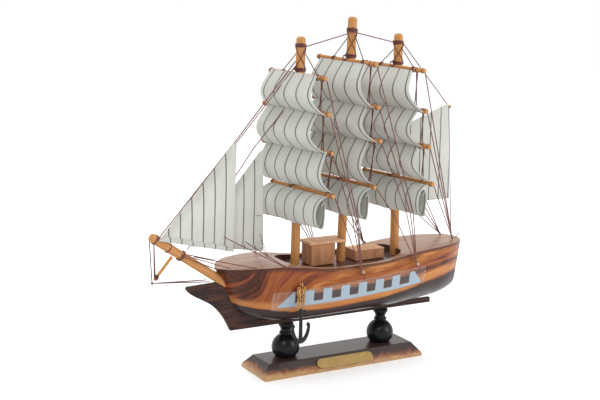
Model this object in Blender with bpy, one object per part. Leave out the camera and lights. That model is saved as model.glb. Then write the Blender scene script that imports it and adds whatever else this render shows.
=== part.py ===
# Three-masted model sailing ship on a turned two-pillar stand.
# Metres, +Z up. Bow towards -X, port side towards -Y, origin under the middle of the base plate.
import math

import bmesh
import bpy
from mathutils import Matrix, Vector

MM = 0.001
GAP = 0.3 * MM                      # room left between pieces that touch

# stand
BASE_LENGTH = 125 * MM
BASE_WIDTH = 36 * MM
BASE_HEIGHT = 9.5 * MM
BASE_EDGE = 2.2 * MM                # upright band below the chamfer
BASE_INSET = 5.9 * MM               # how far the chamfer goes in
PLATE_LENGTH = 44.5 * MM
PLATE_HEIGHT = 7.2 * MM
PLATE_THICKNESS = 0.7 * MM
PLATE_DROP = 0.9 * MM               # how far it sits below the middle of the chamfer
PILLAR_X = 38 * MM
PILLAR_TOP = 32.7 * MM
SCREW_RADIUS = 1.5 * MM
SCREW_HEAD_RADIUS = 3.0 * MM
SCREW_LENGTH = 19 * MM

# hull
KEEL_BOTTOM = 33 * MM
KEEL_TOP = 36.4 * MM
KEEL_THICKNESS = 3 * MM
KEEL_AFT = 79.5 * MM
WELL_FLOOR = 71.6 * MM
WELL_LENGTH = 91.5 * MM
WELL_WIDTH = 41.5 * MM
WELL_MIDDLE = 2.2 * MM
MAST_RADIUS = 3.05 * MM
MAST_STEP_DEPTH = 14 * MM
SPRIT_RADIUS = 3.0 * MM
SPRIT_HEEL = (-74, 0, 59.2)         # millimetres
SPRIT_TIP = (-136, 0, 101.8)         # millimetres

# deck fittings
CABIN_SIZE = (18.4 * MM, 14 * MM, 14.2 * MM)
CABIN_X = -13.8 * MM
ROOF_SIZE = (28.6 * MM, 15.2 * MM, 1.7 * MM)
ROOF_X = -10.4 * MM
HATCH_SIZE = (23.6 * MM, 14 * MM, 7.4 * MM)
HATCH_X = 23.4 * MM

# rig
YARD_RADIUS = 1.5 * MM
YARD_TILT = 2.75                             # degrees, starboard end up
CLOTH = 0.8 * MM
THREAD_RADIUS = 0.25 * MM
KNOT_RADIUS = 0.8 * MM
LASHING_INSET = 2 * MM                       # a brace is tied this far inside the yard's end

# Each mast's foot x, head x and head height, then for its four yards from the top: height, turn in
# degrees, reach to port and starboard, and how far its sail reaches to port and starboard; then how
# deep each bellied sail is and how far its foot stands off. All lengths in millimetres.
MASTS = {
    "fore": {
        "foot": -31.8, "head": -30.0, "top": 225.0,
        "heights": (200.9, 178.6, 153.7, 126.8), "turns": (20, 20, 22, 18),
        "port_reach": (26.6, 30.4, 32.6, 37.2), "starboard_reach": (22.4, 27.5, 27.0, 19.0),
        "sail_port": (20.4, 22.5, 29.6, 33.6), "sail_starboard": (18.8, 20.2, 20.6, 18.0),
        "belly": (8.0, 9.5, 8.5), "foot_out": (4.0, 9.0, 4.5),
    },
    "main": {
        "foot": 4.0, "head": 9.0, "top": 237.5,
        "heights": (208.9, 181.4, 159.4, 128.8), "turns": (20, 21, 22, 18),
        "port_reach": (26.0, 29.4, 32.0, 31.2), "starboard_reach": (24.6, 27.0, 29.0, 25.5),
        "sail_port": (18.6, 21.7, 22.5, 29.4), "sail_starboard": (20.4, 22.0, 23.5, 21.5),
        "belly": (8.5, 9.0, 11.5), "foot_out": (3.5, 6.0, 4.5),
    },
    "mizzen": {
        "foot": 48.0, "head": 45.7, "top": 226.0,
        "heights": (203.8, 177.1, 153.4, 128.4), "turns": (20, 20, 20, 20),
        "port_reach": (26.4, 29.1, 32.0, 35.4), "starboard_reach": (25.0, 27.0, 29.0, 25.0),
        "sail_port": (17.4, 23.2, 24.4, 33.0), "sail_starboard": (21.0, 22.5, 23.5, 21.5),
        "belly": (8.5, 9.5, 9.5), "foot_out": (4.0, 5.0, 5.0),
    },
}

# where each mast's braces are knotted on the hull, port then starboard, in millimetres
BRACE_KNOTS = {
    "fore": ((5.6, -26.0, 68.6), (0.0, 25.6, 72.0)),
    "main": ((50.5, -24.8, 69.0), (38.5, 25.2, 75.0)),
    "mizzen": ((92.5, -7.5, 80.5), (92.5, 7.5, 80.5)),
}

# the port braces bend round the edge of the sail abaft them: y and z in millimetres
BRACE_BENDS = {"fore": (-32.6, 108.6), "main": (-33.0, 108.0)}

# hull lines in millimetres: deck x, keel x, half breadth at deck, half breadth at bilge,
# deck height, bilge height, bottom height
HULL_LINES = (
    (-90.6, -77.8, 1.7, 1.4, 77.6, 50.2, 48.6),
    (-87.4, -73.5, 8.4, 5.6, 77.8, 48.8, 44.9),
    (-81.0, -66.5, 15.3, 10.6, 78.0, 47.2, 41.6),
    (-69.0, -56.5, 20.4, 15.8, 78.2, 45.6, 38.8),
    (-53.0, -45.0, 23.3, 19.4, 78.2, 45.0, 37.2),
    (-38.0, -33.0, 24.0, 20.8, 76.4, 45.0, 36.7),
    (-20.0, -17.0, 24.2, 21.6, 74.0, 45.5, 36.7),
    (5.0, 5.0, 24.2, 21.8, 73.6, 46.8, 36.7),
    (28.0, 27.0, 24.0, 21.2, 74.2, 48.4, 36.7),
    (46.0, 44.0, 23.3, 20.0, 76.6, 50.4, 36.9),
    (60.0, 57.0, 22.2, 18.2, 78.0, 52.6, 37.7),
    (74.0, 70.4, 20.3, 15.8, 78.6, 54.8, 38.6),
    (86.0, 82.5, 17.3, 12.9, 79.0, 56.4, 39.8),
    (94.0, 91.5, 13.0, 9.4, 79.2, 57.6, 42.2),
    (99.2, 97.5, 7.6, 5.6, 79.4, 58.4, 44.8),
    (101.2, 100.2, 2.2, 1.8, 79.4, 58.8, 46.5),
)

# anchor
CHAIN_TOP = (-41.4, -26.6, 64.4)             # millimetres, where the chain hangs from its eye
CHAIN_STEP = 6.9 * MM                        # length of each half of the chain
PLAY_ABOVE = 0.4 * MM                        # room above and below each pivot for the swing
PLAY_BELOW = 0.6 * MM
ANCHOR_SHANK = 22.5 * MM
ANCHOR_SPAN = 6.2 * MM


def clear_scene():
    for thing in list(bpy.data.objects):
        bpy.data.objects.remove(thing)


def finish_paint(name, colour, roughness, metallic=0.0):
    paint = bpy.data.materials.new(name)
    paint.use_nodes = True
    shader = paint.node_tree.nodes["Principled BSDF"]
    shader.inputs["Base Color"].default_value = (*colour, 1.0)
    shader.inputs["Roughness"].default_value = roughness
    shader.inputs["Metallic"].default_value = metallic
    return paint


def place(name, shape, paint, smooth=False):
    """Turn a bmesh into a named object with its material."""
    bmesh.ops.recalc_face_normals(shape, faces=shape.faces)
    mesh = bpy.data.meshes.new(name)
    shape.to_mesh(mesh)
    shape.free()
    if smooth:
        mesh.shade_smooth()
        mesh.set_sharp_from_angle(angle=math.radians(40))
    mesh.materials.append(paint)
    thing = bpy.data.objects.new(name, mesh)
    bpy.context.scene.collection.objects.link(thing)
    return thing


def in_mm(point):
    return Vector(point) * MM


def add_rings(shape, rings):
    """Skin a row of closed rings of points and cap both ends."""
    rows = [[shape.verts.new(point) for point in ring] for ring in rings]
    count = len(rows[0])
    for near, far in zip(rows, rows[1:]):
        for i in range(count):
            j = (i + 1) % count
            shape.faces.new((near[i], near[j], far[j], far[i]))
    shape.faces.new(rows[0])
    shape.faces.new(list(reversed(rows[-1])))


def circle(centre, side, up, radius, count):
    turns = [2 * math.pi * i / count for i in range(count)]
    return [centre + side * radius * math.cos(a) + up * radius * math.sin(a) for a in turns]


def frame_along(direction):
    """Two unit vectors square to a direction."""
    helper = Vector((0, 0, 1)) if abs(direction.z) < 0.9 else Vector((1, 0, 0))
    side = direction.cross(helper).normalized()
    return side, side.cross(direction).normalized()


def add_rod(shape, start, end, radius, count=12, round_end=0.0):
    """A straight round rod; round_end rounds off its far end over that length."""
    direction = (end - start).normalized()
    side, up = frame_along(direction)
    rings = [circle(start, side, up, radius, count)]
    if round_end:
        for step in range(4):
            angle = math.radians(25 * step)
            centre = end - direction * round_end * (1 - math.sin(angle))
            rings.append(circle(centre, side, up, radius * math.cos(angle), count))
    else:
        rings.append(circle(end, side, up, radius, count))
    add_rings(shape, rings)


def rod(name, start, end, radius, paint, count=12, round_end=0.0):
    shape = bmesh.new()
    add_rod(shape, start, end, radius, count, round_end)
    return place(name, shape, paint, smooth=True)


def thread(name, route, paint, radius=THREAD_RADIUS, count=6):
    """A thin cord pulled straight from point to point."""
    shape = bmesh.new()
    rings = []
    for i, point in enumerate(route):
        before = route[max(i - 1, 0)]
        after = route[min(i + 1, len(route) - 1)]
        side, up = frame_along((after - before).normalized())
        rings.append(circle(point, side, up, radius, count))
    add_rings(shape, rings)
    return place(name, shape, paint, smooth=True)


def turned(name, profile, centre_x, paint, count=20, bottom=0.0):
    """A piece turned about an upright axis; profile is (radius, height), bottom to top."""
    shape = bmesh.new()
    middle = Vector((centre_x, 0, bottom))
    side, up = Vector((1, 0, 0)), Vector((0, 1, 0))
    rings = [circle(middle + Vector((0, 0, h)), side, up, r, count) for r, h in profile]
    add_rings(shape, rings)
    return place(name, shape, paint, smooth=True)


def block(name, size, centre, paint):
    shape = bmesh.new()
    bmesh.ops.create_cube(shape, size=1.0)
    bmesh.ops.scale(shape, vec=size, verts=shape.verts)
    bmesh.ops.translate(shape, vec=centre, verts=shape.verts)
    return place(name, shape, paint)


def cut(target, cutter):
    """Take the cutter's shape out of the target, and keep the cutter out of sight."""
    cutter.hide_render = True
    cutter.display_type = "WIRE"
    knife = target.modifiers.new("cut_" + cutter.name, "BOOLEAN")
    knife.operation = "DIFFERENCE"
    knife.solver = "EXACT"
    knife.object = cutter


def join_onto(target, other):
    """Fuse another object into the target, and keep the other out of sight."""
    other.hide_render = True
    other.display_type = "WIRE"
    glue = target.modifiers.new("join_" + other.name, "BOOLEAN")
    glue.operation = "UNION"
    glue.solver = "EXACT"
    glue.object = other


# ---- stand ----

def base_plate(paint):
    shape = bmesh.new()
    levels = ((0, 0.0), (0, BASE_EDGE), (BASE_INSET, BASE_HEIGHT))
    rings = []
    for inset, height in levels:
        x = BASE_LENGTH / 2 - inset
        y = BASE_WIDTH / 2 - inset
        rings.append([Vector((sx * x, sy * y, height)) for sx, sy in ((-1, -1), (1, -1), (1, 1), (-1, 1))])
    add_rings(shape, rings)
    plate = place("base_plate", shape, paint)
    for name, x in (("front_hole", -PILLAR_X), ("aft_hole", PILLAR_X)):
        profile = ((SCREW_HEAD_RADIUS + GAP, -1 * MM), (SCREW_HEAD_RADIUS + GAP, 2.8 * MM),
                   (SCREW_RADIUS + GAP, 4.4 * MM), (SCREW_RADIUS + GAP, BASE_HEIGHT + 1 * MM))
        cut(plate, turned(name, profile, x, paint, 16))


def name_plate(paint):
    """A thin plate with round ends that lies on the port chamfer."""
    rise = BASE_HEIGHT - BASE_EDGE
    slope = Vector((0, BASE_INSET, rise)).normalized()
    outward = Vector((0, -rise, BASE_INSET)).normalized()
    middle = Vector((0, -BASE_WIDTH / 2 + BASE_INSET / 2, BASE_EDGE + rise / 2)) - slope * PLATE_DROP
    along = Vector((1, 0, 0))
    half = PLATE_HEIGHT / 2
    ring = []
    for centre, first in ((1, -90), (-1, 90)):
        for step in range(7):
            angle = math.radians(first + 30 * step)
            x = centre * (PLATE_LENGTH / 2 - half) + half * math.cos(angle)
            ring.append(middle + along * x + slope * half * math.sin(angle))
    shape = bmesh.new()
    add_rings(shape, [[p + outward * d for p in ring] for d in (GAP, GAP + PLATE_THICKNESS)])
    place("name_plate", shape, paint)


def pillar(name, x, paint):
    foot = BASE_HEIGHT + GAP
    top = PILLAR_TOP - foot
    bulb, bulb_height = 9.5 * MM, 6.6 * MM
    profile = [(7.2 * MM, 0.0)]
    for step in range(9):
        angle = math.radians(-38 + 13.2 * step)
        profile.append((bulb * math.cos(angle), bulb_height + bulb * 0.98 * math.sin(angle)))
    profile += [(3.6 * MM, 15.3 * MM), (4.3 * MM, 15.8 * MM), (4.4 * MM, 16.8 * MM), (3.6 * MM, 17.5 * MM),
                (3.7 * MM, 19.2 * MM), (5.0 * MM, top - 1.4 * MM), (5.2 * MM, top)]
    post = turned(name, profile, x, paint, 20, foot)
    bore = ((SCREW_RADIUS + GAP, -1 * MM), (SCREW_RADIUS + GAP, SCREW_LENGTH - foot + 4 * MM))
    cut(post, turned(name + "_bore", bore, x, paint, 16, foot))


def stand_screw(name, x, paint):
    head = 1.2 * MM
    profile = ((SCREW_HEAD_RADIUS, 0.0), (SCREW_RADIUS, head + 1.6 * MM), (SCREW_RADIUS, SCREW_LENGTH - 2 * MM),
               (0.3 * MM, SCREW_LENGTH))
    turned(name, profile, x, paint, 16, head)


# ---- hull ----

def hull_ring(line):
    """One closed cross-section: deck edge, side, round bilge and bottom, port then starboard."""
    deck_x, keel_x, deck, bilge, deck_z, bilge_z, bottom_z = line
    corners = []
    for share in (0.0, 0.5, 1.0):
        bulge = 0.5 * math.sin(math.pi * share) * min(deck / 20, 1)
        x = deck_x + (keel_x - deck_x) * share * (deck_z - bilge_z) / (deck_z - bottom_z)
        corners.append((x, deck + (bilge - deck) * share + bulge, deck_z + (bilge_z - deck_z) * share))
    drop = bilge_z - bottom_z
    for degrees in (30, 60, 84):
        angle = math.radians(degrees)
        z = bilge_z - drop * math.sin(angle)
        x = deck_x + (keel_x - deck_x) * (deck_z - z) / (deck_z - bottom_z)
        corners.append((x, bilge * math.cos(angle), z))
    port = [in_mm((x, -y, z)) for x, y, z in corners]
    starboard = [in_mm((x, y, z)) for x, y, z in reversed(corners)]
    return port + starboard


def well_cutter(paint):
    """The sunk deck between the forecastle and the poop: an upright block with round ends."""
    shape = bmesh.new()
    ring = []
    for step in range(36):
        angle = 2 * math.pi * (step + 0.5) / 36
        c, s = math.cos(angle), math.sin(angle)
        x = WELL_MIDDLE + WELL_LENGTH / 2 * math.copysign(abs(c) ** 0.62, c)
        y = WELL_WIDTH / 2 * math.copysign(abs(s) ** 0.62, s)
        ring.append(Vector((x, y, 0)))
    add_rings(shape, [[p + Vector((0, 0, z)) for p in ring] for z in (WELL_FLOOR, 90 * MM)])
    return place("well_cutter", shape, paint)


def mast_point(mast, height, foot=WELL_FLOOR):
    """A point on a mast's axis at a height in metres."""
    top = mast["top"] * MM
    share = (height - foot) / (top - foot)
    return Vector(((mast["foot"] + (mast["head"] - mast["foot"]) * share) * MM, 0, height))


def hull_block(paint):
    shape = bmesh.new()
    add_rings(shape, [hull_ring(line) for line in HULL_LINES])
    hull = place("hull_block", shape, paint, smooth=True)
    cut(hull, well_cutter(paint))
    for name, mast in MASTS.items():
        low = mast_point(mast, WELL_FLOOR - MAST_STEP_DEPTH - GAP)
        high = mast_point(mast, WELL_FLOOR + 12 * MM)
        cut(hull, rod(name + "_step", low, high, MAST_RADIUS + GAP, paint, 16))
    heel, tip = in_mm(SPRIT_HEEL), in_mm(SPRIT_TIP)
    aim = (tip - heel).normalized()
    cut(hull, rod("sprit_hole", heel - aim * GAP, tip, SPRIT_RADIUS + GAP, paint, 16))
    eye = in_mm(CHAIN_TOP)
    inner = Vector((eye.x, -18 * MM, eye.z + 1.9 * MM))
    outer = Vector((eye.x, -30 * MM, eye.z + 1.9 * MM))
    cut(hull, rod("eye_hole", inner, outer, 0.8 * MM, paint, 8))


def keel_board(paint):
    """A thin board under the hull: a straight strip aft and a pointed cutwater at the bow."""
    under = [(line[1], line[6]) for line in HULL_LINES if line[1] < 50]
    bow = HULL_LINES[0]
    inner = []
    for z in (66.2, 57.0, 48.2):
        reach = min((bow[4] - z) / (bow[4] - bow[6]), 1)
        inner.append((bow[0] + (bow[1] - bow[0]) * reach - 0.6, z))
    inner += [(x, z - 0.4) for x, z in under[1:]]
    tip, foot = Vector((-111.6, 0, 65.3)), Vector((-80.0, 0, KEEL_BOTTOM / MM))
    bend = Vector((-92.5, 0, 54.5))
    front = []
    for step in range(9):
        t = step / 8
        front.append(foot * (1 - t) ** 2 + bend * 2 * t * (1 - t) + tip * t ** 2)
    outline = [(p.x, p.z) for p in front] + [(-110.9, 66.4)] + inner
    outline += [(KEEL_AFT / MM, KEEL_TOP / MM), (KEEL_AFT / MM, KEEL_BOTTOM / MM)]
    shape = bmesh.new()
    half = KEEL_THICKNESS / 2
    add_rings(shape, [[Vector((x * MM, y, z * MM)) for x, z in outline] for y in (-half, half)])
    board = place("keel_board", shape, paint)
    heel, tip = in_mm(SPRIT_HEEL), in_mm(SPRIT_TIP)
    cut(board, rod("sprit_way", heel, tip, SPRIT_RADIUS + GAP, paint, 16))


def hull_side(x, z):
    """Half breadth of the hull's side in metres at a length and a height in metres."""
    x, z = x / MM, z / MM
    for near, far in zip(HULL_LINES, HULL_LINES[1:]):
        def at(line, high):
            reach = (line[4] - high) / (line[4] - line[6])
            return line[0] + (line[1] - line[0]) * reach
        x0, x1 = at(near, z), at(far, z)
        if x0 <= x <= x1:
            halves = []
            for line in (near, far):
                share = (line[4] - z) / (line[4] - line[5])
                bulge = 0.5 * (2 * min(share, 1 - share)) * min(line[2] / 20, 1)
                halves.append(line[2] + (line[3] - line[2]) * share + bulge)
            return (halves[0] + (halves[1] - halves[0]) * (x - x0) / (x1 - x0)) * MM
    return 0.0


def gunport_strip(name, side, paint):
    """A thin clear strip that follows the hull's side; side is -1 for port, 1 for starboard."""
    thickness = 0.3 * MM
    stand_off = 0.45 * MM
    shape = bmesh.new()
    rings = []
    steps = 12
    for step in range(steps + 1):
        t = step / steps
        x = (-58.5 + 119.5 * t) * MM
        middle = (57.4 + 4.6 * t * t) * MM
        ring = []
        for depth in (stand_off, stand_off + thickness):
            heights = (-6.2 * MM, 6.2 * MM) if depth == stand_off else (6.2 * MM, -6.2 * MM)
            for height in heights:
                z = middle + height
                ring.append(Vector((x, side * (hull_side(x, z) + depth), z)))
        rings.append(ring)
    add_rings(shape, rings)
    place(name, shape, paint)


# ---- deck ----

def cabin(paint):
    size = Vector(CABIN_SIZE)
    centre = Vector((CABIN_X, 0, WELL_FLOOR + GAP + size.z / 2))
    block("cabin", size, centre, paint)


def cabin_roof(paint):
    size = Vector(ROOF_SIZE)
    z = WELL_FLOOR + GAP * 2 + CABIN_SIZE[2] + size.z / 2
    roof = block("cabin_roof", size, Vector((ROOF_X, 0, z)), paint)
    main = MASTS["main"]
    low, high = mast_point(main, z - 3 * MM), mast_point(main, z + 3 * MM)
    cut(roof, rod("roof_notch", low, high, MAST_RADIUS + GAP, paint, 16))


def hatch(paint):
    size = Vector(HATCH_SIZE)
    block("hatch", size, Vector((HATCH_X, 0, WELL_FLOOR + GAP + size.z / 2)), paint)


# ---- spars ----

def mast(name, spec, paint):
    low = mast_point(spec, WELL_FLOOR - MAST_STEP_DEPTH)
    high = mast_point(spec, spec["top"] * MM)
    rod(name + "_mast", low, high, MAST_RADIUS, paint, 14, 2.2 * MM)


def yard_frame(spec, index):
    """Middle of a yard, the way to its port end, the way forward off the sail."""
    turn = math.radians(spec["turns"][index])
    tilt = math.radians(YARD_TILT)
    port = Vector((math.sin(turn) * math.cos(tilt), -math.cos(turn) * math.cos(tilt), -math.sin(tilt)))
    ahead = Vector((-math.cos(turn), -math.sin(turn), 0))
    off = MAST_RADIUS + YARD_RADIUS + GAP
    return mast_point(spec, spec["heights"][index] * MM) + ahead * off, port, ahead


def yard(name, spec, index, paint):
    middle, port, ahead = yard_frame(spec, index)
    starboard_end = middle - port * spec["starboard_reach"][index] * MM
    port_end = middle + port * spec["port_reach"][index] * MM
    rod(name, starboard_end, port_end, YARD_RADIUS, paint, 10)


def bowsprit(paint):
    rod("bowsprit", in_mm(SPRIT_HEEL), in_mm(SPRIT_TIP), SPRIT_RADIUS, paint, 14, 2.2 * MM)


# ---- sails ----

def sheet_from_edges(name, starboard, port, outward, paint):
    """A thin sheet spanned between two edge lines, thickened along outward."""
    shape = bmesh.new()
    rings = []
    for edge in (starboard, port):
        front = [point + way * CLOTH / 2 for point, way in zip(edge, outward)]
        back = [point - way * CLOTH / 2 for point, way in zip(edge, outward)]
        rings.append(front + back[::-1])
    add_rings(shape, rings)
    return place(name, shape, paint, smooth=True)


def profile_normals(profile):
    """Unit normals, as (forward, up), of an open line of (forward, up) points."""
    normals = []
    for i in range(len(profile)):
        a = Vector(profile[max(i - 1, 0)])
        b = Vector(profile[min(i + 1, len(profile) - 1)])
        run = (b - a).normalized()
        normals.append((-run.y, run.x))
    return normals


def square_sail(name, spec, index, paint):
    """A bellied sail from one yard down to just above the next one."""
    steps = 8
    middle, port, ahead = yard_frame(spec, index)
    lower, lower_port, lower_ahead = yard_frame(spec, index + 1)
    front = YARD_RADIUS + GAP + CLOTH / 2 + 0.1 * MM
    belly, out = spec["belly"][index] * MM, spec["foot_out"][index] * MM
    edges = []
    normals = None
    for reach in (-spec["sail_starboard"][index], spec["sail_port"][index]):
        head = middle + port * reach * MM
        foot = lower + lower_port * reach * MM + Vector((0, 0, 3.2 * MM))
        edge, outline = [], []
        for step in range(steps + 1):
            t = step / steps
            off = front + out * t + belly * math.sin(math.pi * t ** 1.15)
            way = ahead.lerp(lower_ahead, t)
            edge.append(head.lerp(foot, t) + way * off)
            outline.append((off, -t * (head.z - foot.z)))
        edges.append(edge)
        normals = [ahead * n[0] + Vector((0, 0, n[1])) for n in profile_normals(outline)]
    return sheet_from_edges(name, edges[0], edges[1], [-n for n in normals], paint)


def rolled_sail(name, spec, paint):
    """The lowest sail: cloth that goes forward and down from its yard and round up behind it."""
    middle, port, ahead = yard_frame(spec, 3)
    front = YARD_RADIUS + GAP + CLOTH / 2 + 0.1 * MM
    outline = [(front, 0.4 * MM)]
    for step in range(12):
        angle = math.radians(60 - 23 * step)
        grow = 6.9 * MM
        outline.append((6.6 * MM + grow * math.cos(angle), -11.6 * MM + 9.6 * MM * math.sin(angle)))
    outline = [outline[0], (8.6 * MM, -2.4 * MM)] + outline[2:]
    outline.append((0.9 * MM, -3.2 * MM))
    normals = [ahead * n[0] + Vector((0, 0, n[1])) for n in profile_normals(outline)]
    edges = []
    for reach in (-spec["sail_starboard"][3], spec["sail_port"][3]):
        base = middle + port * reach * MM
        edges.append([base + ahead * f + Vector((0, 0, z)) for f, z in outline])
    sheet_from_edges(name, edges[0], edges[1], normals, paint)


def flat_sail(name, corners, y, paint):
    """A fore-and-aft sail: a thin plate between corners given as (x, z) in millimetres."""
    shape = bmesh.new()
    rings = []
    for side in (-1, 1):
        rings.append([Vector((x * MM, y + side * CLOTH / 2, z * MM)) for x, z in corners])
    add_rings(shape, rings)
    return place(name, shape, paint)


# ---- threads ----

def yard_end(spec, index, side):
    """Just abaft a yard, a little inside its end; side is 1 for port, -1 for starboard."""
    middle, port, ahead = yard_frame(spec, index)
    reach = spec["port_reach" if side > 0 else "starboard_reach"][index] * MM - LASHING_INSET
    behind = YARD_RADIUS + GAP + THREAD_RADIUS + 0.1 * MM
    return middle + port * side * reach - ahead * behind


def brace_fan(name, spec, side, knot, paint, bend=None):
    """Four threads from the ends of a mast's yards to one knot on the rail."""
    shape = bmesh.new()
    bmesh.ops.create_icosphere(shape, subdivisions=1, radius=KNOT_RADIUS)
    bmesh.ops.translate(shape, vec=knot, verts=shape.verts)
    fan = place(name, shape, paint, smooth=True)
    for index in range(4):
        start = yard_end(spec, index, side)
        route = [start, knot]
        if bend:
            y, z = bend[0] * MM, bend[1] * MM
            straight = start.lerp(knot, (start.z - z) / (start.z - knot.z))
            route.insert(1, Vector((straight.x, y, z)))
        join_onto(fan, thread(f"{name}_line_{index}", route, paint))


def bobstay(paint):
    """Threads from the bowsprit's tip to the dolphin striker's foot and back to the bow."""
    foot = in_mm((-134.9, 0, 71.4))
    shape = bmesh.new()
    bmesh.ops.create_icosphere(shape, subdivisions=1, radius=KNOT_RADIUS)
    bmesh.ops.translate(shape, vec=foot, verts=shape.verts)
    knot = place("bobstay", shape, paint, smooth=True)
    ends = ((-136.6, 0, 98.6), (-96.0, -2.6, 68.6), (-96.0, 2.6, 68.6))
    for number, end in enumerate(ends):
        join_onto(knot, thread(f"bobstay_line_{number}", [in_mm(end), foot], paint))


# ---- anchor ----

def anchor_eye(paint):
    """A small wire ring on a pin that goes into the hull's side."""
    centre = in_mm(CHAIN_TOP) + Vector((0, 0, 1.9 * MM))
    shape = bmesh.new()
    rings = []
    for step in range(12):
        angle = 2 * math.pi * step / 12
        out = Vector((0, math.cos(angle), math.sin(angle)))
        rings.append(circle(centre + out * 1.5 * MM, out, Vector((1, 0, 0)), 0.4 * MM, 6))
    rows = [[shape.verts.new(point) for point in ring] for ring in rings]
    for i in range(12):
        near, far = rows[i], rows[(i + 1) % 12]
        for j in range(6):
            k = (j + 1) % 6
            shape.faces.new((near[j], near[k], far[k], far[j]))
    ring = place("anchor_eye", shape, paint, smooth=True)
    pin = rod("eye_pin", centre + Vector((0, 1.3 * MM, 0)), Vector((centre.x, -19.5 * MM, centre.z)),
              0.45 * MM, paint, 8)
    join_onto(ring, pin)


def chain_half(name, top, paint):
    """Half of the chain: three flattened links, each turned a quarter from the last."""
    parent = bpy.data.objects.new(name + "_pivot", None)
    parent.location = top
    bpy.context.scene.collection.objects.link(parent)
    shape = bmesh.new()
    rings = []
    widths = ((0.7, 0.5), (1.5, 0.7), (0.8, 0.8), (0.8, 0.8), (1.5, 0.7), (0.7, 0.5))
    usable = CHAIN_STEP - PLAY_ABOVE - PLAY_BELOW
    for number, (wide, deep) in enumerate(widths):
        drop = PLAY_BELOW + usable * number / (len(widths) - 1)
        corners = ((-1, -1), (1, -1), (1, 1), (-1, 1))
        rings.append([Vector((sx * wide * MM, sy * deep * MM, -drop)) for sx, sy in corners])
    add_rings(shape, rings)
    links = place(name, shape, paint)
    links.parent = parent


def anchor(paint):
    """Shank, stock and two curved arms with flukes, hung from the chain's lower end."""
    pivot = in_mm(CHAIN_TOP) - Vector((0, 0, 2 * CHAIN_STEP))
    parent = bpy.data.objects.new("anchor_pivot", None)
    parent.location = pivot
    bpy.context.scene.collection.objects.link(parent)
    shape = bmesh.new()
    along, across = Vector((1, 0, 0)), Vector((0, 1, 0))
    shank_rings = ((0.55, 0.8 * MM), (0.9, 2.0 * MM), (1.0, ANCHOR_SHANK))
    add_rings(shape, [circle(Vector((0, 0, -drop)), along, across, r * MM, 8) for r, drop in shank_rings])
    shank = place("anchor", shape, paint, smooth=True)
    shank.parent = parent
    stock = rod("anchor_stock", Vector((-3.6 * MM, 0, -2.6 * MM)), Vector((3.6 * MM, 0, -2.6 * MM)),
                0.6 * MM, paint, 8)
    arms = bmesh.new()
    rings = []
    for step in range(13):
        angle = math.radians(-172 + 164 * step / 12)
        out = Vector((math.cos(angle), 0, math.sin(angle)))
        centre = Vector((out.x * ANCHOR_SPAN, 0, -ANCHOR_SHANK + 11.6 * MM + out.z * 12.2 * MM))
        thick = (1.15 - 0.35 * abs(step - 6) / 6) * MM
        rings.append(circle(centre, out, Vector((0, 1, 0)), thick, 6))
    add_rings(arms, rings)
    curve = place("anchor_arms", arms, paint, smooth=True)
    pieces = [stock, curve]
    for side in (-1, 1):
        tip = Vector((side * ANCHOR_SPAN * 0.99, 0, -ANCHOR_SHANK + 10.4 * MM))
        fluke = bmesh.new()
        bmesh.ops.create_icosphere(fluke, subdivisions=1, radius=1.35 * MM)
        bmesh.ops.translate(fluke, vec=tip, verts=fluke.verts)
        pieces.append(place(f"anchor_fluke_{side + 1}", fluke, paint))
    for piece in pieces:
        piece.parent = parent
        join_onto(shank, piece)


# ---- the whole ship ----

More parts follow.
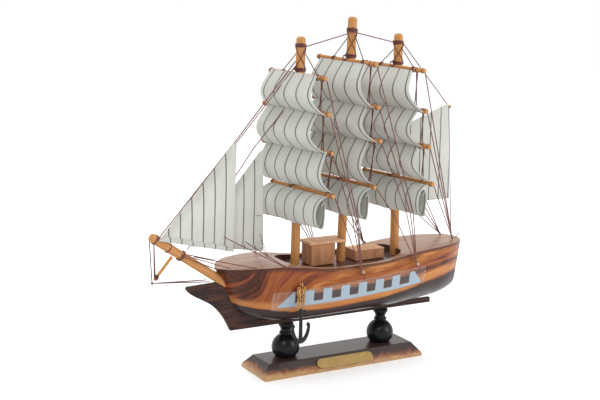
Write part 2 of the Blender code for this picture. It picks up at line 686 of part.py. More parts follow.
def build():
    clear_scene()
    burnt = finish_paint("burnt_wood", (0.10, 0.035, 0.018), 0.28)
    varnished = finish_paint("varnished_wood", (0.42, 0.15, 0.045), 0.22)
    black = finish_paint("black_lacquer", (0.012, 0.013, 0.014), 0.18)
    gilt = finish_paint("gilt_metal", (0.72, 0.50, 0.18), 0.35, 1.0)
    steel = finish_paint("screw_steel", (0.6, 0.6, 0.6), 0.35, 1.0)
    tan = finish_paint("plain_wood", (0.62, 0.36, 0.16), 0.55)
    dowel = finish_paint("dowel_wood", (0.72, 0.38, 0.12), 0.45)
    film = finish_paint("printed_film", (0.55, 0.62, 0.66), 0.3)
    cloth = finish_paint("sail_cloth", (0.78, 0.79, 0.76), 0.9)
    cord = finish_paint("brown_thread", (0.16, 0.05, 0.03), 0.8)
    bronze = finish_paint("dark_bronze", (0.03, 0.035, 0.032), 0.4, 0.8)

    base_plate(burnt)
    name_plate(gilt)
    pillar("front_pillar", -PILLAR_X, black)
    pillar("aft_pillar", PILLAR_X, black)
    stand_screw("front_screw", -PILLAR_X, steel)
    stand_screw("aft_screw", PILLAR_X, steel)

    hull_block(varnished)
    keel_board(burnt)
    gunport_strip("port_gunport_strip", -1, film)
    gunport_strip("starboard_gunport_strip", 1, film)
    cabin(tan)
    cabin_roof(tan)
    hatch(tan)

    # the inner forestay goes through the cloth of one sail
    inner_stay = [in_mm(p) for p in ((-34.6, 0, 175.4), (-59.9, 1.9, 151.9), (-110.4, 0.6, 90.8))]
    bowsprit(dowel)
    for name, spec in MASTS.items():
        mast(name, spec, dowel)
        for index in range(4):
            yard(f"{name}_yard_{index + 1}", spec, index, dowel)
        for index in range(3):
            sail = square_sail(f"{name}_sail_{index + 1}", spec, index, cloth)
            if name == "fore" and index > 0:
                cut(sail, rod(f"stay_way_{index}", inner_stay[0], inner_stay[1], 0.7 * MM, cloth, 8))
        rolled_sail(f"{name}_sail_4", spec, cloth)

    rod("dolphin_striker", in_mm((-121.2, 0, 87.4)), in_mm((-133.4, 0, 73.2)), 1.0 * MM, dowel, 8)
    rod("gaff", in_mm((50.6, 2.0, 158.4)), in_mm((93.0, 2.0, 174.0)), 1.1 * MM, dowel, 8)

    flat_sail("outer_jib", ((-131.2, 96.9), (-78.7, 86.2), (-78.1, 157.2)), -3.9 * MM, cloth)
    flat_sail("inner_jib", ((-107.0, 91.6), (-55.8, 84.4), (-59.4, 150.0)), 1.9 * MM, cloth)
    flat_sail("spanker", ((52.6, 108.2), (93.3, 108.2), (89.6, 176.6), (52.2, 162.6)), -0.2 * MM, cloth)

    thread("outer_forestay", [in_mm((-33.9, 0, 209.0)), in_mm((-131.6, 0, 103.3))], cord)
    thread("inner_forestay", inner_stay, cord)
    masthead = ((-26.4, -1.2, 218.6), (7.6, -3.8, 227.6), (41.9, -1.2, 220.0))
    thread("masthead_stay", [in_mm(point) for point in masthead], cord)
    bobstay(cord)

    for name, spec in MASTS.items():
        port_knot, starboard_knot = BRACE_KNOTS[name]
        brace_fan(f"{name}_port_braces", spec, 1, in_mm(port_knot), cord, BRACE_BENDS.get(name))
        brace_fan(f"{name}_starboard_braces", spec, -1, in_mm(starboard_knot), cord)

    anchor_eye(gilt)
    top = in_mm(CHAIN_TOP)
    chain_half("upper_chain", top, gilt)
    chain_half("lower_chain", top - Vector((0, 0, CHAIN_STEP)), gilt)
    anchor(bronze)


build()
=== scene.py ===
# Three-masted model ship: looks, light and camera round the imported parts. Sizes in the dictionaries
# are in millimetres unless a note says otherwise; meshes are in metres.
import math

import bmesh
import bpy
import numpy as np
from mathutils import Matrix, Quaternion, Vector


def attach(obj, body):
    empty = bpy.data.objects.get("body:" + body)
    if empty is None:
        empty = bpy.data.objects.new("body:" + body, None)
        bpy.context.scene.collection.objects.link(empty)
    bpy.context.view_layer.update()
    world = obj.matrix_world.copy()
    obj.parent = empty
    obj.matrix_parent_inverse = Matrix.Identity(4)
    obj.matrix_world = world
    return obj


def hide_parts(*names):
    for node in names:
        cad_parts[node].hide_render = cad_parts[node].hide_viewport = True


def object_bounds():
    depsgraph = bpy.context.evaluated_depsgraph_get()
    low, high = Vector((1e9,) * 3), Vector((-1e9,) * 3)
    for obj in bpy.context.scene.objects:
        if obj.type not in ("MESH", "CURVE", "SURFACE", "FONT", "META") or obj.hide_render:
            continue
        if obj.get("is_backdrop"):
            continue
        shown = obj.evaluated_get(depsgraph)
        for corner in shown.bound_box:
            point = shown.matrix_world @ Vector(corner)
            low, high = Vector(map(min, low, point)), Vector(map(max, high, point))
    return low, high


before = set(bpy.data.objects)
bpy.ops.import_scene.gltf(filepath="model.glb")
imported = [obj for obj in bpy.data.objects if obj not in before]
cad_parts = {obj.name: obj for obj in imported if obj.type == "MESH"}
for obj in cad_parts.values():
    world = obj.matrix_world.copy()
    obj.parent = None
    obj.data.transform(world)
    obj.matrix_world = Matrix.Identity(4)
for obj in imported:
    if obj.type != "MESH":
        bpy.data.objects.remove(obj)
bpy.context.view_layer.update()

mm = 0.001

# ---------- camera and light ----------

view = {"aim": (-0.0287, 0.0, 0.1166), "back": (-0.4794, -0.8558, 0.1944), "distance": 0.8114,
        "roll": 1.01, "lens": 72.95, "sensor": 36.0}


def makeCamera(view):
    back = Vector(view["back"]).normalized()
    lens = bpy.data.cameras.new("camera")
    lens.lens, lens.sensor_width = view["lens"], view["sensor"]
    lens.clip_start, lens.clip_end = 0.02, 20.0
    camera = bpy.data.objects.new("camera", lens)
    bpy.context.scene.collection.objects.link(camera)
    camera.location = Vector(view["aim"]) + back * view["distance"]
    camera.rotation_mode = "QUATERNION"
    level = (-back).to_track_quat("-Z", "Y")
    camera.rotation_quaternion = level @ Quaternion((0, 0, 1), math.radians(view["roll"]))
    bpy.context.scene.camera = camera


# place, aim, size across and watts of each soft light
lamps = {
    "keyLight": ((-0.75, -0.70, 1.05), (0.0, 0.0, 0.11), 0.55, 3.9),
    "fillLight": ((0.85, -0.95, 0.55), (0.0, 0.0, 0.10), 0.80, 7.0),
    "topLight": ((0.10, 0.45, 1.30), (0.0, 0.0, 0.10), 0.90, 6.0),
}


def makeLights(lamps):
    for name, (place, aim, size, watts) in lamps.items():
        light = bpy.data.lights.new(name, "AREA")
        light.shape, light.size, light.energy = "DISK", size, watts
        lamp = bpy.data.objects.new(name, light)
        lamp.location = place
        lamp.rotation_mode = "QUATERNION"
        lamp.rotation_quaternion = (Vector(aim) - Vector(place)).to_track_quat("-Z", "Y")
        bpy.context.scene.collection.objects.link(lamp)
    world = bpy.data.worlds.new("paleRoom")
    bpy.context.scene.world = world
    world.use_nodes = True
    sky = world.node_tree.nodes["Background"]
    sky.inputs["Color"].default_value = (1.0, 1.0, 1.0, 1.0)
    sky.inputs["Strength"].default_value = 1.04
    bpy.context.scene.view_settings.view_transform = "Standard"


makeCamera(view)
makeLights(lamps)
print("camera and lights made")

# ---------- shader maths ----------


class Wire:
    # a shader socket that Python's operators work on; each one adds a Math node

    def __init__(self, tree, socket):
        self.tree, self.socket = tree, socket

    def maths(self, operation, *terms, clamp=False):
        node = self.tree.nodes.new("ShaderNodeMath")
        node.operation, node.use_clamp = operation, clamp
        for slot, term in zip(node.inputs, terms):
            plug(self.tree, term, slot)
        return Wire(self.tree, node.outputs[0])

    def __add__(self, other):
        return self.maths("ADD", self, other)

    def __sub__(self, other):
        return self.maths("SUBTRACT", self, other)

    def __rsub__(self, other):
        return self.maths("SUBTRACT", other, self)

    def __mul__(self, other):
        return self.maths("MULTIPLY", self, other)

    def __truediv__(self, other):
        return self.maths("DIVIDE", self, other)

    def __rtruediv__(self, other):
        return self.maths("DIVIDE", other, self)

    def __abs__(self):
        return self.maths("ABSOLUTE", self)

    __radd__ = __add__
    __rmul__ = __mul__

    def sine(self):
        return self.maths("SINE", self)

    def repeat(self, pitch):
        # distance to the nearest multiple of the pitch
        return abs(self - pitch * self.maths("ROUND", self / pitch))

    def rise(self, low, high):
        # 0 below low, 1 above high, straight between; low may be the higher one
        return self.maths("MULTIPLY", self - low, 1 / (high - low), clamp=True)

    def most(self, other):
        return self.maths("MAXIMUM", self, other)

    def least(self, other):
        return self.maths("MINIMUM", self, other)


def plug(tree, value, slot):
    if isinstance(value, Wire):
        tree.links.new(value.socket, slot)
    else:
        slot.default_value = value


class Finish:
    # one material: node() adds any node, feed() joins a value to the surface shader

    def __init__(self, name, fixed):
        self.material = bpy.data.materials.new(name)
        self.material.use_nodes = True
        self.tree = self.material.node_tree
        self.shader = self.tree.nodes["Principled BSDF"]
        for socket, value in fixed.items():
            self.shader.inputs[socket].default_value = value

    def node(self, kind, settings, sockets, output=0):
        node = self.tree.nodes.new("ShaderNode" + kind)
        for name, value in settings.items():
            if name == "stops":
                for number, (place, colour) in enumerate(value):
                    stop = node.color_ramp.elements[number] if number < 2 else node.color_ramp.elements.new(place)
                    stop.position, stop.color = place, (*colour, 1.0)
            else:
                setattr(node, name, value)
        for name, value in sockets.items():
            plug(self.tree, value, node.inputs[name])
        return Wire(self.tree, node.outputs[output])

    def place(self, which="Object"):
        return self.node("TexCoord", {}, {}, which)

    def parts(self, at):
        return [self.node("SeparateXYZ", {}, {"Vector": at}, i) for i in range(3)]

    def stretch(self, at, scale, turn=(0, 0, 0), move=(0, 0, 0)):
        turns = tuple(math.radians(a) for a in turn)
        return self.node("Mapping", {}, {"Vector": at, "Scale": scale, "Rotation": turns, "Location": move})

    def noise(self, at, scale, detail=3.0, rough=0.55, twist=0.0):
        return self.node("TexNoise", {}, {"Vector": at, "Scale": scale, "Detail": detail, "Roughness": rough,
                                          "Distortion": twist})

    def pair(self, across, along):
        return self.node("CombineXYZ", {}, {"X": across, "Y": along})

    def ramp(self, share, stops):
        return self.node("ValToRGB", {"stops": stops}, {"Fac": share})

    def mix(self, share, first, second, how="MIX"):
        full = [c if isinstance(c, Wire) else (*c, 1.0) for c in (first, second)]
        return self.node("Mix", {"data_type": "RGBA", "blend_type": how}, {0: share, 6: full[0], 7: full[1]}, 2)

    def bump(self, height, reach, strength=1.0):
        # reach is in metres
        relief = self.node("Bump", {}, {"Strength": strength, "Distance": reach, "Height": height})
        self.feed("Normal", relief)

    def feed(self, socket, value):
        plug(self.tree, value, self.shader.inputs[socket])

    def glow(self, colour, share):
        # lets a share of the light through, as thin cloth does
        through = self.node("BsdfTranslucent", {}, {"Color": colour})
        both = self.node("MixShader", {}, {0: share, 1: Wire(self.tree, self.shader.outputs[0]), 2: through})
        self.tree.links.new(both.socket, self.tree.nodes["Material Output"].inputs["Surface"])


# ---------- finishes ----------


def woodFinish(name, pale, dark, pore, long=(1, 0.06, 0.06), scale=900.0, rough=0.5, coat=0.0, where="Object"):
    # long-grained timber: stretched noise for the figure, finer stretched noise for the pores
    wood = Finish(name, {"Coat Weight": coat, "Coat Roughness": 0.12, "Specular IOR Level": 0.4})
    at = wood.stretch(wood.place(where), long)
    figure = wood.noise(at, scale * 0.35, 4.0, 0.6, 1.2)
    pores = wood.noise(at, scale * 2.2, 2.0, 0.7).rise(0.50, 0.68)
    tone = wood.ramp(figure.rise(0.30, 0.72), [(0.0, pale), (0.55, tuple((p + d) / 2 for p, d in zip(pale, dark))),
                                              (1.0, dark)])
    wood.feed("Base Color", wood.mix(pores * 0.55, tone, pore))
    wood.feed("Roughness", rough + 0.16 * pores)
    wood.bump(figure * 0.5 + (1 - pores) * 0.5, 0.00012, 0.5)
    return wood.material


def dowelFinish(name, pale, dark, pore):
    # turned stick: grain runs along the stick, whose own map is (round, along) in millimetres
    stick = Finish(name, {"Specular IOR Level": 0.25, "Coat Weight": 0.06, "Coat Roughness": 0.35})
    flat = stick.place("UV")
    streak = stick.noise(stick.stretch(flat, (0.9, 0.045, 1.0)), 1.0, 4.0, 0.62, 0.4)
    fine = stick.noise(stick.stretch(flat, (3.4, 0.16, 1.0)), 1.0, 3.0, 0.7)
    tone = stick.ramp(streak.rise(0.28, 0.74), [(0.0, pale), (1.0, dark)])
    stick.feed("Base Color", stick.mix(fine.rise(0.54, 0.72) * 0.6, tone, pore))
    stick.feed("Roughness", 0.42 + 0.2 * fine)
    stick.bump(streak * 0.4 + fine * 0.6, 0.00010, 0.55)
    return stick.material


hullLook = {
    "amber": (0.275, 0.090, 0.017), "gold": (0.45, 0.185, 0.050), "brown": (0.185, 0.039, 0.010),
    "mahogany": (0.038, 0.009, 0.005), "bilge": (0.016, 0.008, 0.008), "bilgeStreakAndSheen": (0.060, 0.038, 0.036),
    "redEdge": (0.045, 0.013, 0.008),
}


def hullFinish(look):
    # stained and scorched side; its own map is (x, share) in which share is 0 at the rail, 1 at the
    # chine and 2 at the keel. Bands follow the rail, bend with slow noise, and lean back at the bow.
    hull = Finish("stainedHull", {"Coat Weight": 0.14, "Coat Roughness": 0.12, "Specular IOR Level": 0.16})
    flat, solid = hull.place("UV"), hull.place()
    along, down, _ = hull.parts(flat)
    slow = hull.noise(hull.stretch(solid, (1, 0.4, 1.6)), 30.0, 3.0, 0.55, 0.7)
    fibre = hull.noise(hull.stretch(solid, (0.05, 0.6, 1.0), (0, 6, 0)), 2600.0, 3.0, 0.7)
    bow = along.rise(-20.0, -72.0)
    lean = down + along * 0.021 * bow + (slow - 0.5) * 0.28
    figure = hull.noise(hull.pair(along * 0.015, lean * 2.1), 1.0, 5.0, 0.6, 0.5)
    grain = hull.noise(hull.pair(along * 0.045, lean * 13.0), 1.0, 4.0, 0.62, 0.4)
    lines = (lean * 46.0 + figure * 16.0).sine() * 0.5 + 0.5
    stripe = down.rise(0.44, 0.52) * down.rise(0.70, 0.62) * along.rise(38.0, 62.0)
    amid = along.rise(-45.0, -20.0) * along.rise(60.0, 30.0)
    burnt = ((figure - 0.5) * 3.0 + (grain - 0.5) * 1.0 + lines * 0.13 + 0.45 + bow * (1.0 - down) * 0.32
             + stripe * 0.75 - along.rise(50.0, 70.0) * 0.10 - amid * down.rise(0.2, 0.6) * 0.10)
    tone = hull.ramp(burnt, [(0.0, look["gold"]), (0.30, look["amber"]), (0.66, look["brown"]),
                             (1.0, look["mahogany"])])
    # a pale strake just over the chine, and a dark red edge under the rail
    strake = down.rise(0.70, 0.80) * down.rise(1.0, 0.93)
    tone = hull.mix(strake * (0.42 + 0.5 * grain), tone, look["gold"])
    tone = hull.mix(down.rise(0.12, 0.045) * 0.82, tone, look["redEdge"])
    tone = hull.mix(fibre.rise(0.52, 0.74) * 0.45, tone, look["brown"])
    # partly painted reflection: the dark bilge is mixed with paler grey streaks, partly stain and partly a painted
    # sheen of the pale floor
    under = hull.mix(fibre.rise(0.35, 0.75) * 0.6 + (slow - 0.4) * 0.4, look["bilge"], look["bilgeStreakAndSheen"])
    edge = down + (slow - 0.5) * 0.16 + bow * 0.10
    dark = edge.rise(0.985, 1.03)
    hull.feed("Base Color", hull.mix(dark, tone, under))
    hull.feed("Roughness", 0.30 + 0.14 * fibre - 0.06 * dark)
    hull.bump(grain * 0.5 + fibre * 0.5, 0.00014, 0.45)
    return hull.material


def deckFinish():
    # varnished deck timber, grain fore and aft, with a few darker heart streaks and worn red edges
    deck = Finish("varnishedDeck", {"Coat Weight": 0.3, "Coat Roughness": 0.18, "Specular IOR Level": 0.35})
    solid = deck.place()
    flat = deck.parts(deck.place("UV"))
    rings = deck.noise(deck.stretch(solid, (0.05, 1, 1), (0, 0, 4)), 420.0, 4.0, 0.6, 1.4)
    fine = deck.noise(deck.stretch(solid, (0.04, 1, 1), (0, 0, 4)), 2200.0, 3.0, 0.7)
    tone = deck.ramp(rings.rise(0.30, 0.72), [(0.0, (0.42, 0.245, 0.155)), (0.5, (0.30, 0.155, 0.090)),
                                             (1.0, (0.13, 0.048, 0.026))])
    tone = deck.mix(fine.rise(0.54, 0.74) * 0.6, tone, (0.11, 0.040, 0.024))
    tone = deck.mix(flat[1].rise(0.9, 0.2) * 0.8, tone, (0.07, 0.020, 0.011))
    deck.feed("Base Color", tone)
    deck.feed("Roughness", 0.30 + 0.2 * fine)
    deck.bump(rings * 0.4 + fine * 0.6, 0.00012, 0.5)
    return deck.material


def baseFinish():
    # scorched stand: black-brown on top, glowing down the chamfer to bare pale timber at the foot
    base = Finish("scorchedStand", {"Coat Weight": 0.45, "Coat Roughness": 0.10, "Specular IOR Level": 0.25})
    solid = base.place()
    x, _, z = base.parts(solid)
    blot = base.noise(base.stretch(solid, (0.7, 1, 1.2)), 150.0, 4.0, 0.62, 0.8)
    grain = base.noise(base.stretch(solid, (0.05, 1, 1)), 1100.0, 4.0, 0.68, 0.5)
    height = z * 1000.0 + (blot - 0.5) * 7.5 + (grain - 0.5) * 1.6 - (x * -1000.0).rise(54.0, 60.0) * 0.9
    tone = base.ramp(height.rise(1.4, 8.2), [(0.0, (0.38, 0.215, 0.090)), (0.28, (0.26, 0.105, 0.034)),
                                            (0.46, (0.125, 0.036, 0.013)), (0.66, (0.026, 0.010, 0.007)),
                                            (1.0, (0.020, 0.010, 0.008))])
    top = z.rise(0.0088, 0.0094)
    sheen = base.mix(grain.rise(0.45, 0.75) * 0.55, (0.030, 0.014, 0.011), (0.105, 0.055, 0.040))
    base.feed("Base Color", base.mix(top, tone, sheen))
    base.feed("Roughness", 0.34 + 0.16 * grain)
    base.bump(grain * 0.7 + blot * 0.3, 0.00016, 0.5)
    return base.material


def keelFinish():
    keel = Finish("darkKeel", {"Coat Weight": 0.12, "Coat Roughness": 0.14, "Specular IOR Level": 0.15})
    solid = keel.place()
    _, y, _ = keel.parts(solid)
    grain = keel.noise(keel.stretch(solid, (0.06, 1, 1), (0, 12, 0)), 1000.0, 4.0, 0.65, 0.5)
    tone = keel.ramp(grain.rise(0.30, 0.78), [(0.0, (0.010, 0.0045, 0.005)), (0.6, (0.017, 0.007, 0.0075)),
                                             (1.0, (0.027, 0.010, 0.010))])
    worn = (abs(y) * 1000.0).rise(1.30, 1.5) * grain.rise(0.45, 0.6)
    keel.feed("Base Color", keel.mix(worn * 0.4, tone, (0.13, 0.045, 0.02)))
    keel.feed("Roughness", 0.32 + 0.18 * grain)
    keel.bump(grain, 0.00012, 0.5)
    return keel.material


def lacquerFinish():
    lacquer = Finish("blackLacquer", {"Coat Weight": 0.10, "Coat Roughness": 0.07, "Specular IOR Level": 0.15})
    solid = lacquer.place()
    turned = lacquer.noise(lacquer.stretch(solid, (1, 1, 6)), 420.0, 3.0, 0.6)
    dust = lacquer.noise(solid, 2400.0, 2.0, 0.6)
    lacquer.feed("Base Color", lacquer.mix(dust.rise(0.45, 0.8), (0.003, 0.003, 0.004), (0.010, 0.011, 0.013)))
    lacquer.feed("Roughness", 0.20 + 0.22 * turned)
    lacquer.bump(turned, 0.00008, 0.4)
    return lacquer.material


def metalFinish(name, bright, dull, rough, brush=(1, 14, 14), pits=0.3, metal=1.0):
    metalwork = Finish(name, {"Metallic": metal, "Specular IOR Level": 0.5})
    solid = metalwork.place()
    lines = metalwork.noise(metalwork.stretch(solid, brush), 260.0, 3.0, 0.6)
    stain = metalwork.noise(solid, 520.0, 4.0, 0.65, 0.4)
    metalwork.feed("Base Color", metalwork.mix(stain.rise(0.38, 0.74), bright, dull))
    metalwork.feed("Roughness", rough + pits * (lines - 0.4))
    metalwork.bump(lines * 0.6 + stain * 0.4, 0.00006, 0.5)
    return metalwork.material


clothLook = {"stripePitch": 8.5, "stripeHalf": 0.41, "weavePitch": 0.82, "white": (0.70, 0.70, 0.655),
             "shadow": (0.50, 0.505, 0.465), "stripe": (0.022, 0.026, 0.025)}


def clothFinish(look):
    # plain weave with thin dark stripes; the piece's map is (across, down) in millimetres, with a
    # stripe at every whole pitch. Warp and weft lift in turn: sin(u) sin(v).
    cloth = Finish("stripedSailCloth", {"Roughness": 0.85, "Specular IOR Level": 0.2, "Sheen Weight": 0.25,
                                        "Sheen Roughness": 0.5})
    flat, solid = cloth.place("UV"), cloth.place()
    across, down, _ = cloth.parts(flat)
    step = 2 * math.pi / look["weavePitch"]
    wander = cloth.noise(flat, 0.12, 2.0, 0.5)
    warp = (across * step + wander * 3.0).sine()
    weft = (down * step + wander * 3.0).sine()
    weave = warp * weft
    slub = cloth.noise(cloth.stretch(flat, (1.4, 0.16, 1)), 1.0, 3.0, 0.6)
    cloudy = cloth.noise(solid, 55.0, 3.0, 0.5)
    holes = (abs(warp).rise(0.45, 0.05)).most(abs(weft).rise(0.45, 0.05))
    tone = cloth.mix(cloudy.rise(0.3, 0.75) * 0.45, look["white"], look["shadow"])
    tone = cloth.mix(holes * 0.48 + slub.rise(0.55, 0.8) * 0.2, tone, look["shadow"])
    away = across.repeat(look["stripePitch"]) + weft * 0.09 + (slub - 0.5) * 0.16
    stripe = away.rise(look["stripeHalf"] + 0.10, look["stripeHalf"] - 0.05)
    tone = cloth.mix(stripe * (0.86 + 0.14 * weave), tone, look["stripe"])
    cloth.feed("Base Color", tone)
    cloth.feed("Roughness", 0.82 + 0.1 * slub)
    cloth.feed("Alpha", 1 - holes * (1 - stripe) * 0.34)
    cloth.bump(weave * 0.6 + slub * 0.8 - holes * 0.3 + stripe * 0.2, 0.00022, 0.7)
    cloth.glow((0.70, 0.70, 0.655, 1.0), 0.30 * (1 - stripe * 0.9))
    return cloth.material


def threadFinish(name, deep, light, fuzz):
    # twisted cotton: slanting strands on the map (round, along) in millimetres
    thread = Finish(name, {"Specular IOR Level": 0.25, "Sheen Weight": 0.2})
    round_, along, _ = thread.parts(thread.place("UV"))
    strand = ((along * 5.2) + (round_ * 4.0)).sine() * 0.5 + 0.5
    blot = thread.noise(thread.place(), 900.0, 3.0, 0.6)
    thread.feed("Base Color", thread.mix(strand * 0.7 + blot * 0.3, deep, light))
    thread.feed("Roughness", 0.68 + fuzz * blot)
    thread.bump(strand, 0.00010, 0.8)
    return thread.material


filmLook = {"band": (0.245, 0.315, 0.375), "port": (0.045, 0.020, 0.017), "first": 25.4, "pitch": 13.64, "count": 6,
            "half": 3.35, "bandLow": -5.7, "bandHigh": -3.3, "merlonHigh": 4.4, "portHigh": 2.3,
            "length": 119.5, "edge": 5.95}


def filmFinish(look):
    # clear film printed with a pale castellated band, ramps at both ends and dark squares in the
    # gaps; its map is (along from the bow end, up from the middle) in millimetres
    film = Finish("printedFilm", {"Specular IOR Level": 0.5, "Coat Weight": 0.4, "Coat Roughness": 0.15})
    along, tall, _ = film.parts(film.place("UV"))
    share = along / look["length"]
    up = tall - (1.4 - 3.1 * share + 1.3 * share * share)
    blot = film.noise(film.place(), 700.0, 3.0, 0.6)
    last = look["first"] + look["pitch"] * (look["count"] - 1)
    inside = along.rise(look["first"] - 7.2, look["first"] - 6.9) * along.rise(last + 7.2, last + 6.9)
    near = (along - look["first"]).repeat(look["pitch"])
    low, high = look["bandLow"], look["merlonHigh"]
    merlon = near.rise(look["half"] + 0.15, look["half"] - 0.15) * inside
    foreRamp = (along - 2.9) * 0.98 + low
    aftRamp = (look["length"] - 1.9 - along) * 1.2 + low
    ramps = foreRamp.least(aftRamp)
    inRamp = (1 - inside) * along.rise(15.2, 14.9).most(along.rise(look["length"] - 14.3, look["length"] - 14.0))
    top = (merlon * high + (1 - merlon) * look["bandHigh"]).least(ramps.most(low))
    top = top * (1 - inRamp) + ramps.least(high) * inRamp
    band = (up - top).rise(0.12, -0.12) * up.rise(low - 0.12, low + 0.12)
    square = (1 - merlon) * (1 - inRamp) * (top * -1).rise(-high, -high + 2.0)
    square = square * up.rise(look["bandHigh"], look["bandHigh"] + 0.2)
    square = square * up.rise(look["portHigh"] + 0.1, look["portHigh"] - 0.1)
    rim = abs(tall).rise(look["edge"], look["edge"] + 0.2).most(along.rise(0.45, 0.2))
    rim = rim.most(along.rise(look["length"] - 0.45, look["length"] - 0.2))
    tone = film.mix(square, film.mix(band, (0.62, 0.58, 0.55), film.mix(blot.rise(0.35, 0.75) * 0.35, look["band"],
                                                                       (0.33, 0.40, 0.45))), look["port"])
    film.feed("Base Color", tone)
    film.feed("Alpha", 0.05 + 0.90 * band + 0.72 * square + 0.22 * rim * (1 - band))
    film.feed("Roughness", 0.28 + 0.18 * blot)
    film.bump(band * 0.5 + blot * 0.2, 0.00008, 0.5)
    return film.material


def cabinFinish(name, crown):
    # bare sawn timber with upright saw grooves, painted darker as shade in the grooves; above the crown height the
    # top face is painted paler as a painted highlight
    cabinWood = Finish(name, {"Specular IOR Level": 0.3})
    solid = cabinWood.place()
    x, y, z = cabinWood.parts(solid)
    fleck = cabinWood.noise(cabinWood.stretch(solid, (1.0, 1.0, 0.22)), 1900.0, 3.0, 0.7)
    tone = cabinWood.noise(cabinWood.stretch(solid, (0.5, 1.0, 0.2)), 260.0, 4.0, 0.6, 0.8)
    groove = ((x + y * 0.73) * 4600.0).sine() * 0.5 + 0.5
    colour = cabinWood.ramp(tone.rise(0.3, 0.72), [(0.0, (0.46, 0.225, 0.105)), (1.0, (0.28, 0.110, 0.048))])
    colour = cabinWood.mix(fleck.rise(0.52, 0.7) * 0.5, colour, (0.12, 0.046, 0.021))
    # painted shade: the saw grooves are drawn darker where the surface dips
    colour = cabinWood.mix(groove.rise(0.35, 0.0) * 0.22, colour, (0.10, 0.038, 0.018))
    # painted highlight: above the crown height the top face is drawn paler, as if lit from above
    top = (z * 1000.0).rise(crown - 0.45, crown - 0.15)
    cabinWood.feed("Base Color", cabinWood.mix(top * (0.85 - 0.3 * fleck), colour, (0.66, 0.385, 0.215)))
    cabinWood.feed("Roughness", 0.58 + 0.2 * fleck)
    cabinWood.bump(groove * 0.35 + fleck * 0.65, 0.00015, 0.6)
    return cabinWood.material


def floorFinish():
    floor = Finish("paleFloor", {"Specular IOR Level": 0.1})
    cloudy = floor.noise(floor.place(), 6.0, 2.0, 0.5)
    floor.feed("Base Color", floor.mix(cloudy, (0.98, 0.98, 0.98), (0.96, 0.96, 0.96)))
    floor.feed("Roughness", 0.8 + 0.1 * cloudy)
    return floor.material


paints = {
    "hull": hullFinish(hullLook),
    "deck": deckFinish(),
    "well": woodFinish("darkWell", (0.085, 0.026, 0.014), (0.035, 0.011, 0.007), (0.020, 0.007, 0.006),
                       rough=0.35, coat=0.4),
    "base": baseFinish(),
    "keel": keelFinish(),
    "lacquer": lacquerFinish(),
    "gold": metalFinish("brushedGilt", (0.32, 0.215, 0.085), (0.22, 0.145, 0.055), 0.42, (1, 16, 16)),
    "chain": metalFinish("giltWire", (0.62, 0.36, 0.12), (0.26, 0.12, 0.04), 0.30, (6, 6, 6)),
    "bronze": metalFinish("darkBronze", (0.028, 0.034, 0.031), (0.009, 0.011, 0.010), 0.42, (4, 4, 4), 0.3, 0.75),
    "steel": metalFinish("screwSteel", (0.62, 0.62, 0.60), (0.38, 0.38, 0.37), 0.34, (5, 5, 5)),
    "cloth": clothFinish(clothLook),
    "thread": threadFinish("redBrownThread", (0.075, 0.020, 0.016), (0.21, 0.070, 0.055), 0.2),
    "cord": threadFinish("darkCord", (0.045, 0.012, 0.010), (0.15, 0.042, 0.032), 0.2),
    "film": filmFinish(filmLook),
    # the hatch's finish carries a painted highlight on its top face; the cabin's crown is set too high to get one
    "cabin": cabinFinish("sawnTimber", 999.0), "hatch": cabinFinish("sawnHatchPaintedLitTop", 79.3),
    "roof": woodFinish("pineBoard", (0.66, 0.385, 0.215), (0.50, 0.25, 0.125), (0.32, 0.145, 0.065), rough=0.58),
    "dowel": dowelFinish("oiledDowel", (0.50, 0.240, 0.078), (0.31, 0.128, 0.036), (0.17, 0.062, 0.019)),
    "glue": woodFinish("driedGlue", (0.52, 0.40, 0.25), (0.34, 0.23, 0.13), (0.22, 0.14, 0.08), (1, 1, 1),
                       1500.0, 0.3),
    "floor": floorFinish(),
}
print("finishes made:", len(paints))

# ---------- shapes ----------


def unit(v):
    return v / np.linalg.norm(v, axis=-1, keepdims=True)


def throughPoints(knots, values, at):
    # cubic curve through the knots, y = h00 y0 + h10 w m0 + h01 y1 + h11 w m1, slopes m from the neighbours
    knots, values, at = np.asarray(knots, float), np.asarray(values, float), np.asarray(at, float)
    slopes = np.gradient(values, knots, axis=0)
    k = np.clip(np.searchsorted(knots, at) - 1, 0, len(knots) - 2)
    width = knots[k + 1] - knots[k]
    t = (at - knots[k]) / width
    if values.ndim > 1:
        t, width = t[..., None], width[..., None]
    return ((2 * t**3 - 3 * t**2 + 1) * values[k] + (t**3 - 2 * t**2 + t) * width * slopes[k]
            + (3 * t**2 - 2 * t**3) * values[k + 1] + (t**3 - t**2) * width * slopes[k + 1])


def lengths(path):
    # distance run at each point of a path
    return np.concatenate([[0.0], np.cumsum(np.linalg.norm(np.diff(path, axis=0), axis=1))])


def resample(points, step, smooth=False):
    # a path through the points with an even step; straight between them unless smooth
    points = np.asarray(points, float)
    run = lengths(points)
    at = np.linspace(0, run[-1], max(int(run[-1] / step), 2) + 1)
    if smooth:
        return throughPoints(run, points, at)
    return np.stack([np.interp(at, run, points[:, i]) for i in range(3)], -1)


